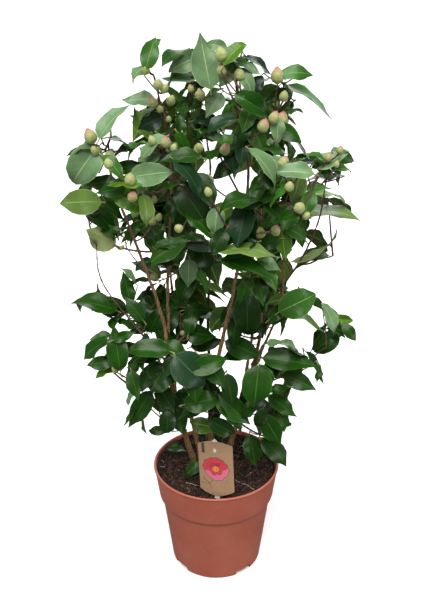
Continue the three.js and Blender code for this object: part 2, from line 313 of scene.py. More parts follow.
class Sheaf:
    """Gathers many small shapes, to be joined into one mesh."""

    def __init__(self):
        self.points, self.faces, self.slots, self.maps, self.count = [], [], [], [], 0

    def add(self, points, faces, slot=0, uv=None):
        self.points.append(points)
        self.faces.extend((np.asarray(f) + self.count).tolist() for f in faces)
        self.slots.extend([slot] * len(faces) if np.isscalar(slot) else slot)
        self.maps.append(np.zeros((len(points), 2)) if uv is None else uv)
        self.count += len(points)

    def make(self, name, materials):
        """The joined mesh, with its own UV map and one material for each slot."""
        mesh = bpy.data.meshes.new(name)
        mesh.from_pydata(np.concatenate(self.points).tolist(), [], self.faces)
        for material in materials:
            mesh.materials.append(material)
        mesh.polygons.foreach_set("material_index", self.slots)
        corners = np.empty(len(mesh.loops), int)
        mesh.loops.foreach_get("vertex_index", corners)
        chart = mesh.uv_layers.new(name="own")
        chart.data.foreach_set("uv", np.concatenate(self.maps)[corners].ravel())
        piece = bpy.data.objects.new(name, mesh)
        bpy.context.scene.collection.objects.link(piece)
        mesh.update()
        return piece


def any_turn(dice):
    """A turn about a random axis, as a 3 x 3 matrix."""
    turn = np.linalg.qr(dice.normal(size=(3, 3)))[0]
    return turn * np.sign(np.linalg.det(turn))


def tube(points, radii, sides):
    """A closed tube along points: its points, its outward faces, and its UV round and along."""
    points = np.asarray(points, float)
    steps = np.gradient(points, axis=0)
    steps /= np.linalg.norm(steps, axis=1)[:, None]
    across = np.cross(steps[0], (0.31, 0.2, 0.93) if abs(steps[0][2]) < 0.9 else (1, 0.1, 0))
    angles = np.arange(sides) * math.tau / sides
    rings = []
    for step, point, radius in zip(steps, points, radii):
        across = across - step * (across @ step)
        across /= np.linalg.norm(across)
        other = np.cross(step, across)
        rings.append(point + radius * (np.outer(np.cos(angles), across) + np.outer(np.sin(angles), other)))
    count = len(points)
    faces = [
        (i * sides + k, i * sides + (k + 1) % sides, (i + 1) * sides + (k + 1) % sides, (i + 1) * sides + k)
        for i in range(count - 1) for k in range(sides)]
    faces.append(tuple(reversed(range(sides))))
    faces.append(tuple((count - 1) * sides + k for k in range(sides)))
    uv = [(k / sides, i / (count - 1)) for i in range(count) for k in range(sides)]
    return np.concatenate(rings), faces, np.array(uv)


def scatter(share):
    """A random place on the peat, out to a share of its area."""
    distance = soil_radius * math.sqrt(dice.uniform(0, share))
    bearing = dice.uniform(0, math.tau)
    return distance * math.cos(bearing), distance * math.sin(bearing)


# Each kind of crumb or grain has its count, its least and greatest size in mm, and its slot.
crumbs = Sheaf()
crumb_kinds = ((1100, 1.0, 2.8, 0), (420, 2.4, 5.4, 0), (110, 0.7, 1.3, 1))
for count, least, most, slot in crumb_kinds:
    for _ in range(count):
        x, y = scatter(0.96)
        size = dice.uniform(least, most) * MM
        lump = (crumb_points * dice.uniform(0.6, 1.2, (12, 1)) * dice.uniform(0.6, 1, 3)) @ any_turn(dice)
        crumbs.add(lump * size + (x, y, crust(x, y) + size * 0.3), crumb_faces, slot)

# Each kind of fibre has its count, its least and greatest length and its half thickness in mm,
# and its slot.
fibres = Sheaf()
fibre_steps = 5
fibre_kinds = ((560, 8, 26, 0.3, 0), (26, 10, 24, 0.35, 1), (4, 25, 45, 0.5, 2))
for count, least, most, thickness, slot in fibre_kinds:
    for _ in range(count):
        x, y = scatter(0.8)
        heading = dice.uniform(0, math.tau)
        length = dice.uniform(least, most) * MM
        bend = dice.uniform(-2.2, 2.2)
        route = []
        for i in range(fibre_steps + 1):
            if math.hypot(x, y) > soil_radius * 0.97:
                break
            lift = math.sin(math.pi * i / fibre_steps) * dice.uniform(0.3, 1.0) * length * 0.08
            route.append((x, y, crust(x, y) + 0.8 * MM + lift))
            x += length / fibre_steps * math.cos(heading)
            y += length / fibre_steps * math.sin(heading)
            heading += bend / fibre_steps
        if len(route) > 2:
            fibres.add(*tube(route, [thickness * MM] * len(route), 4)[:2], slot)

def speckled(
        name, dark, light, roughness, size,
        detail=4.0, mottle=0.5, full=0.65, strength=0.5, relief_depth=0.3 * MM):
    """A matt natural stuff whose colour and relief vary from grain to grain."""
    material, shader = new_material(name, Roughness=roughness)
    place = add_node(material, "ShaderNodeTexCoord")
    grain = add_node(
        material, "ShaderNodeTexNoise", {"Scale": 1 / size, "Detail": detail, "Roughness": mottle},
        {"Vector": place.outputs["Object"]})
    spread = add_node(
        material, "ShaderNodeMapRange", {"From Min": 0.35, "From Max": full}, {"Value": grain})
    colour = add_node(
        material, "ShaderNodeMixRGB", {"Color1": linear(dark), "Color2": linear(light)}, {"Fac": spread})
    link(material, colour, shader.inputs["Base Color"])
    relief = add_node(
        material, "ShaderNodeBump", {"Strength": strength, "Distance": relief_depth}, {"Height": grain})
    link(material, relief, shader.inputs["Normal"])
    return material


# Peat is matt and near black when moist, with a rusty cast from bark fines. The coir, the straw
# and the young roots in it are paler and drier, and grit shows as light grains.
moist_peat = speckled(
    "moist peat", "#140a06", "#352014", 0.92, 6 * MM, detail=8.0, mottle=0.7, full=0.7, strength=0.8,
    relief_depth=1.2 * MM)
pale_grit = speckled("pale grit", "#8d7a63", "#cfc3ab", 0.8, 3 * MM)
coir = speckled("coir fibre", "#4a2e1e", "#8a5a3c", 0.85, 9 * MM)
straw = speckled("dry straw", "#8a6a48", "#b89a72", 0.8, 9 * MM)
feeding_root = speckled("feeding root", "#a58d72", "#cbb79b", 0.7, 8 * MM)
peat.data.materials.append(moist_peat)
hand_over(peat, "peat", "peat_soil", "soil")
peat_crumbs = crumbs.make("peat_crumbs", [moist_peat, pale_grit])
hand_over(peat_crumbs, "peat_crumbs", "peat_soil")
peat_fibres = fibres.make("peat_fibres", [coir, straw, feeding_root])
hand_over(peat_fibres, "peat_fibres", "peat_soil")

# ---------------------------------------------------------------------------------------------
# The stems: several cuttings rooted in one pot, so that the shrub is bushy from the ground. The
# bark is thin and smooth, light brown and finely cracked low down, dark purple-brown above, with
# a slight swelling where each old leaf was joined.
def centre_line(node):
    """The middle and the radius of a limb's rings, from foot to tip, out of the frame's own solid."""
    points = np.array([v.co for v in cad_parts[node].data.vertices])
    points = np.unique(points.round(5), axis=0)
    points = points[np.argsort(points[:, 2])]
    breaks = np.flatnonzero(np.diff(points[:, 2]) > 7 * MM) + 1
    rings = [ring for ring in np.split(points, breaks) if len(ring) >= 4]
    middles = np.array([ring.mean(0) for ring in rings])
    radii = np.array([np.linalg.norm(ring - ring.mean(0), axis=1).mean() for ring in rings])
    return middles, radii


def smooth_route(points, radii, step):
    """A rounded route through a few points, with the radius at each of its own points."""
    lengths = np.concatenate([[0], np.cumsum(np.linalg.norm(np.diff(points, axis=0), axis=1))])
    count = max(4, int(lengths[-1] / step))
    places = np.linspace(0, lengths[-1], count)
    tangents = np.gradient(points, lengths, axis=0)
    out = []
    for place in places:
        i = min(len(points) - 2, int(np.searchsorted(lengths, place, "right")) - 1)
        span = lengths[i + 1] - lengths[i]
        s = (place - lengths[i]) / span
        out.append(
            points[i] * (2 * s ** 3 - 3 * s ** 2 + 1) + tangents[i] * span * (s ** 3 - 2 * s ** 2 + s)
            + points[i + 1] * (3 * s ** 2 - 2 * s ** 3) + tangents[i + 1] * span * (s ** 3 - s ** 2))
    return np.array(out), np.interp(places, lengths, radii)


limb_names = sorted(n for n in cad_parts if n.endswith(("_stem", "_shoot")))
limb_names.sort(key=lambda n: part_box(n)[0].z)
limbs = {}
for name in limb_names:
    middles, radii = centre_line(name)
    if limbs and middles[0][2] > soil_level + 30 * MM:
        trunk_points = np.concatenate([route for route, _ in limbs.values()])
        gaps = np.linalg.norm(trunk_points - middles[0] + (0, 0, 12 * MM), axis=1)
        middles = np.concatenate([[trunk_points[gaps.argmin()]], middles])
        radii = np.concatenate([[radii[0]], radii])
    else:
        middles = np.concatenate([[middles[0] - (0, 0, 8 * MM)], middles])
        radii = np.concatenate([[radii[1]], radii])
    # The wood is slimmer than its solids in the frame, most of all above the first branches.
    slimmer = np.interp(middles[:, 2], (0.2, 0.36, 0.5), (0.86, 0.74, 0.64))
    limbs[name] = smooth_route(middles, radii * slimmer, 4 * MM)


def camellia_bark(name, youth_from, youth_to):
    """Bark that turns from old to young between two heights in metres.

    Old bark is light brown cork with fine lengthwise cracks. Young bark is a dark purple-brown skin.
    """
    material, shader = new_material(name, Roughness=0.68)
    place = add_node(material, "ShaderNodeTexCoord")
    drawn_out = add_node(
        material, "ShaderNodeMapping", {"Scale": (1.0, 1.0, 0.12)}, {"Vector": place.outputs["Object"]})
    cracks = add_node(
        material, "ShaderNodeTexNoise", {"Scale": 1 / (1.6 * MM), "Detail": 4.0, "Roughness": 0.6},
        {"Vector": drawn_out})
    crack_range = add_node(
        material, "ShaderNodeMapRange", {"From Min": 0.38, "From Max": 0.62}, {"Value": cracks})
    height = add_node(material, "ShaderNodeSeparateXYZ", {}, {"Vector": place.outputs["Object"]})
    blotches = add_node(
        material, "ShaderNodeTexNoise", {"Scale": 1 / (30 * MM), "Detail": 3.0},
        {"Vector": place.outputs["Object"]})
    age = add_node(
        material, "ShaderNodeMath", {"operation": "MULTIPLY_ADD", 1: 0.25},
        {0: blotches, 2: height.outputs["Z"]})
    youth = add_node(
        material, "ShaderNodeMapRange", {"From Min": youth_from, "From Max": youth_to}, {"Value": age})
    old_wood = add_node(
        material, "ShaderNodeMixRGB", {"Color1": linear("#4e3822"), "Color2": linear("#a07c4c")},
        {"Fac": crack_range})
    young_wood = add_node(
        material, "ShaderNodeMixRGB", {"Color1": linear("#33231d"), "Color2": linear("#6b4c3e")},
        {"Fac": crack_range})
    colour = add_node(
        material, "ShaderNodeMixRGB", {}, {"Fac": youth, "Color1": old_wood, "Color2": young_wood})
    link(material, colour, shader.inputs["Base Color"])
    relief = add_node(
        material, "ShaderNodeBump", {"Strength": 0.6, "Distance": 0.4 * MM}, {"Height": cracks})
    link(material, relief, shader.inputs["Normal"])
    return material


old_bark = camellia_bark("thin camellia bark", 0.62, 0.95)
young_bark = camellia_bark("young camellia bark", 0.2, 0.3)
young_limbs = ("lower_left_shoot", "lower_right_shoot", "far_right_stem", "back_centre_stem")

route_step = 4 * MM
node_spacing = 33 * MM  # between old leaf scars
node_swell = 0.22
sway_reach = 2.2 * MM
limb_pieces = []
for name, (route, radii) in limbs.items():
    along = np.arange(len(route)) * route_step
    swell = 1 + node_swell * np.exp(-((along % node_spacing - node_spacing / 2) / (3.5 * MM)) ** 2)
    sway = np.array([
        [noise.noise(Vector(p) * 22 + Vector((k * 9, 3, 1))) for k in range(3)] for p in route])
    sway[:, 2] = 0
    deselect()
    bpy.ops.curve.primitive_nurbs_path_add(location=(0, 0, 0))
    stem = bpy.context.object
    stem.data.splines.clear()
    spline = stem.data.splines.new("POLY")
    spline.points.add(len(route) - 1)
    for point, place, radius, grow in zip(spline.points, route + sway * sway_reach, radii, swell):
        point.co = (*place, 1)
        point.radius = radius * grow / MM
    stem.data.bevel_depth = 1 * MM
    stem.data.bevel_resolution = 4
    stem.data.use_fill_caps = True
    bpy.ops.object.convert(target="MESH")
    stem = bpy.context.object
    stem.data.materials.clear()
    stem.data.materials.append(young_bark if name in young_limbs else old_bark)
    limb_pieces.append(stem)
deselect()
for piece in limb_pieces:
    piece.select_set(True)
bpy.context.view_layer.objects.active = limb_pieces[0]
bpy.ops.object.join()
stems = bpy.context.object
face_outwards(0.05 * MM)
ridges = bpy.data.textures.new("bark ridges", "CLOUDS")
ridges.noise_scale = 6 * MM
ridges.noise_depth = 3
apply_modifier(stems, "DISPLACE", texture=ridges, texture_coords="LOCAL", strength=1.4 * MM, mid_level=0.5)
smooth(stems, 70)
hand_over(stems, "stems", "bark", *limb_names)

# ---------------------------------------------------------------------------------------------
# The twigs and leaves: each mass of the crown is a spray of shoots that leaves the nearest stem.
# A shoot carries thick, glossy evergreen leaves in a spiral, each on a short stalk, and most
# shoots in the upper crown end in fat flower buds.
crown_seed = 23
leaf_length = 77 * MM
leaf_width = 41 * MM
leaf_thickness = 0.6 * MM
leaf_tries = 32
most_cost = 2.1  # a leaf that lies worse than this in the best of its tries is left out
most_sky = 1.6
stalk_length = 9 * MM
spiral = math.radians(144)  # from one leaf to the next, round the shoot
blade_stations = np.array([0, 0.09, 0.21, 0.35, 0.5, 0.65, 0.79, 0.91, 1.0])
blade_strips = np.array([-1, -0.5, 0, 0.5, 1])

# The leaf's outline: egg-shaped, widest two fifths of the way up, drawn out into a drip tip.
tip_start, tip_end = 0.6, 0.93
into_tip = np.clip((blade_stations - tip_start) / (tip_end - tip_start), 0, 1)
blade_outline = 2.87 * blade_stations ** 0.62 * (1 - blade_stations) ** 0.95
blade_outline *= 1 - 0.48 * into_tip ** 2 * (3 - 2 * into_tip)
blade_outline[0] = 0.05


def blade_faces():
    """Faces of one blade: its upper skin, then its under skin, which share the rim and the tip."""
    rows, strips = len(blade_stations), len(blade_strips)
    upper = np.arange((rows - 1) * strips).reshape(rows - 1, strips)
    tip = upper.size
    lower = upper.copy()
    lower[:, 1:-1] = tip + 1 + np.arange((rows - 1) * (strips - 2)).reshape(rows - 1, strips - 2)
    faces, skins = [], []
    for sheet, skin in ((upper, 0), (lower, 1)):
        turn = 1 if skin == 0 else -1
        for i in range(rows - 2):
            for k in range(strips - 1):
                corners = (sheet[i, k], sheet[i, k + 1], sheet[i + 1, k + 1], sheet[i + 1, k])
                split = (corners[:3], corners[::2] + corners[3:]) if k < strips // 2 else (
                    corners[1:], (corners[0], corners[1], corners[3]))
                faces += [half[::turn] for half in split]
                skins += [skin, skin]
        for k in range(strips - 1):
            faces.append((sheet[-1, k], sheet[-1, k + 1], tip)[::turn])
            skins.append(skin)
    for k in range(strips - 1):
        pair = [upper[0, k], lower[0, k], lower[0, k + 1], upper[0, k + 1]]
        faces.append(tuple(dict.fromkeys(pair)))
        skins.append(1)
    return faces, np.array(skins)


blade_face_list, blade_skins = blade_faces()
blade_uv = np.array([((s + 1) / 2, t) for t in blade_stations[:-1] for s in blade_strips])
blade_uv = np.concatenate([blade_uv, [(0.5, 1)], blade_uv.reshape(-1, 5, 2)[:, 1:-1].reshape(-1, 2)])


def unit(vector):
    return vector / max(1e-9, np.linalg.norm(vector))


def blade_points(base, along, up, length, width, form):
    """Points of one blade: folded on its midrib, curled down to the tip and waved at the rim."""
    up = unit(up - along * (up @ along))
    side = np.cross(along, up)
    bend = form["curl"] * blade_stations ** 1.4
    bend = bend + form["flick"] * np.maximum(0, blade_stations - 0.62) ** 1.3 * 3
    run = np.outer(np.cos(bend), along) - np.outer(np.sin(bend), up)
    rise = np.outer(np.cos(bend), up) + np.outer(np.sin(bend), along)
    steps = np.diff(blade_stations, prepend=0)
    rib = base + np.cumsum((run + np.roll(run, 1, axis=0)) / 2 * steps[:, None] * length, axis=0)
    lean = form["twist"] * blade_stations
    across = np.outer(np.cos(lean), side) + rise * np.sin(lean)[:, None]
    rise = rise * np.cos(lean)[:, None] - np.outer(np.sin(lean), side)
    half = width / 2 * blade_outline
    points = np.empty((len(blade_stations), len(blade_strips), 3))
    for k, strip in enumerate(blade_strips):
        wave = form["wave"] * strip ** 2 * np.sin(form["phase"] + 11 * blade_stations + 2.4 * (strip > 0))
        lift = half * abs(strip) * math.sin(form["fold"]) * (1 - form["rim"] * abs(strip))
        lift = lift + wave * blade_outline
        reach = half * strip * math.cos(form["fold"])
        points[:, k] = rib + across * reach[:, None] + rise * lift[:, None]
    under = points[:-1, 1:-1] - rise[:-1, None] * leaf_thickness
    return np.concatenate([points[:-1].reshape(-1, 3), points[-1:, 2], under.reshape(-1, 3)])


def leaf_form(curl, fold, wave, twist, flick):
    """How a blade bends: its curl, and a draw in each of the given ranges for the rest."""
    return {
        "curl": curl, "fold": math.radians(dice.uniform(*fold)), "wave": dice.uniform(*wave) * MM,
        "phase": dice.uniform(0, math.tau), "twist": math.radians(dice.uniform(-twist, twist)),
        "flick": dice.uniform(*flick), "rim": dice.uniform(0.2, 0.95),
    }


masses = {n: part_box(n) for n in sorted(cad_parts) if n.startswith("foliage_")}
mass_centres = np.array([(low + high) / 2 for low, high in masses.values()])
mass_halves = np.array([(high - low) / 2 for low, high in masses.values()])
crown_low, crown_high = mass_centres[:, 2].min(), mass_centres[:, 2].max()
crown_axis = np.array([mass_centres[:, 0].mean(), mass_centres[:, 1].mean()]) * 0.3
dice = np.random.default_rng(crown_seed)

# At the back the tiers run into each other, so the masses reach further up and down there.
mass_reach = mass_halves * 1.04
mass_reach[mass_centres[:, 1] > 0.06] *= (1.0, 1.0, 1.3)


def tier_of(centre):
    """How high a mass stands in the crown, from 0 to 1, and the tier that its leaves belong to."""
    share = (centre[2] - crown_low) / (crown_high - crown_low)
    return share, "upper" if share > 0.66 else "middle" if share > 0.33 else "lower"


def overshoot(points):
    """How far outside the crown's masses each point is: 0 inside, 0.1 a tenth of a half-width out."""
    away = (points[:, None] - mass_centres) / mass_reach
    return np.maximum(0, np.linalg.norm(away, axis=2).min(1) - 1)


def inside(centre, half, share):
    """A random point in the inner share of a mass."""
    while True:
        place = dice.uniform(-1, 1, 3)
        if np.linalg.norm(place) < 1:
            return centre + place * half * share


def bowed(start, end, sag, steps):
    """A shoot's route: it sags away from its start, then turns up to its end."""
    middle = (start + end) / 2 + np.array((0, 0, -sag)) + dice.normal(size=3) * sag * 0.4
    shares = np.linspace(0, 1, steps)[:, None]
    return start * (1 - shares) ** 2 + middle * 2 * shares * (1 - shares) + end * shares ** 2


crown_limit_low = np.array(cad_low)
crown_limit_high = np.array(cad_high)
# The leaves' tones. Grey is a painted sheen, the grey green that the overhead light's reflection gives an
# upturned leaf; deep, teal and dark are partly painted shade for leaves low and inside the crown.
tones = ("deep", "teal", "dark", "middle", "grey", "fresh", "olive")
leaf_parts = {"upper": Sheaf(), "middle": Sheaf(), "lower": Sheaf()}
twigs = Sheaf()
bud_places = []
leaf_marks = np.zeros((0, 3))  # the middle and the upward side of each leaf so far
leaf_ups = np.zeros((0, 3))
eye = np.array((0.0, -1.29, 1.11))  # where the shrub's front is judged from
lead_marks = np.zeros((0, 3))  # the way from there to points of the leading leaves, and how far
lead_reaches = np.zeros(0)


open_from = 13 * MM  # a place further than this from every leading leaf, as seen, is open sky
hides_within = 11 * MM
hides_ahead = 30 * MM
seen_from = 1.3  # metres


def open_sky(points):
    """How far each point would stick out into a gap between the leading leaves, or hide one."""
    if not len(lead_marks):
        return np.zeros(len(points))
    rays = points - eye
    rays /= np.linalg.norm(rays, axis=1)[:, None]
    rays_apart = np.linalg.norm(rays[:, None] - lead_marks[None], axis=2)
    nearest = rays_apart.argmin(1)
    gaps = rays_apart.min(1) * seen_from
    ahead = (lead_reaches[nearest] - np.linalg.norm(points - eye, axis=1)) * (gaps < hides_within)
    return np.clip(gaps / open_from - 1, 0, 2) + np.clip(ahead / hides_ahead, 0, 1) * 0.8


def add_leaf(part, joint, base, middle, along, up, points, tone):
    """Adds one blade and its stalk to a tier, and marks the room that the leaf takes."""
    global leaf_marks, leaf_ups
    part.add(points, blade_face_list, (blade_skins + 2 * tones.index(tone)).tolist(), blade_uv)
    bend = (joint + base) / 2 - up * 0.8 * MM
    stalk = tube([joint, bend, base + along * 3 * MM - up * 0.3 * MM], [1.2 * MM, 1.0 * MM, 0.8 * MM], 4)
    part.add(stalk[0], stalk[1], 2 * len(tones), stalk[2])
    leaf_marks = np.concatenate([leaf_marks, [middle]])
    leaf_ups = np.concatenate([leaf_ups, [up]])


def grow_leaf(part, joint, heading, size, tone, droop, led):
    """Tries some ways for a leaf to lie, and keeps the one that stays in the crown with most room."""
    best = None
    outward = unit(np.array((*(joint[:2] - crown_axis), 0.0)) + 1e-6)
    for _ in range(leaf_tries):
        along = unit(heading + dice.normal(size=3) * 0.32 + outward * 0.25 + np.array((0, 0, -droop)))
        up = np.array((0, 0, 0.8)) + outward * 0.55 + dice.normal(size=3) * 0.28
        if abs(unit(up) @ along) > 0.93:
            continue
        up = unit(up - along * (up @ along))
        length = leaf_length * size * dice.uniform(0.86, 1.1)
        curl = math.radians(dice.uniform(15, 65))
        base = joint + along * stalk_length
        tip = base + length * (along * math.cos(curl * 0.55) - up * math.sin(curl * 0.45))
        middle = base + length * 0.5 * (along - up * 0.1)
        side = np.cross(along, up) * length * 0.22
        tests = np.array([middle, (middle + tip) / 2, tip, middle + side, middle - side])
        out = (overshoot(tests) * (1, 1, 0.8, 0.8, 0.8)).sum()
        sky = open_sky(tests).sum()
        out += (1.1 if led and joint[2] > 0.6 else 0.7) * sky
        past = np.maximum(0, np.maximum(tests - crown_limit_high, crown_limit_low - tests))
        out += 60 * past.sum() / leaf_length
        crowding = 0
        if len(leaf_marks):
            gaps = np.linalg.norm(leaf_marks - middle, axis=1) / length
            alike = np.clip(leaf_ups @ up, 0.3, 1)
            crowding = (np.clip(0.62 - gaps, 0, 1) * alike).sum()
        cost = out * 1.6 + crowding * 1.5 + dice.uniform(0, 0.08)
        if best is None or cost < best[0]:
            best = (cost, sky, along, up, length, curl, base, middle)
    if best is None or best[0] > most_cost or best[1] > most_sky:
        return
    _, _, along, up, length, curl, base, middle = best
    form = leaf_form(curl, (12, 40), (1.4, 4.4), 38, (-0.9, 1.2))
    width = length * leaf_width / leaf_length * dice.uniform(0.9, 1.12)
    points = blade_points(base, along, up, length, width, form)
    add_leaf(part, joint, base, middle, along, up, points, tone)
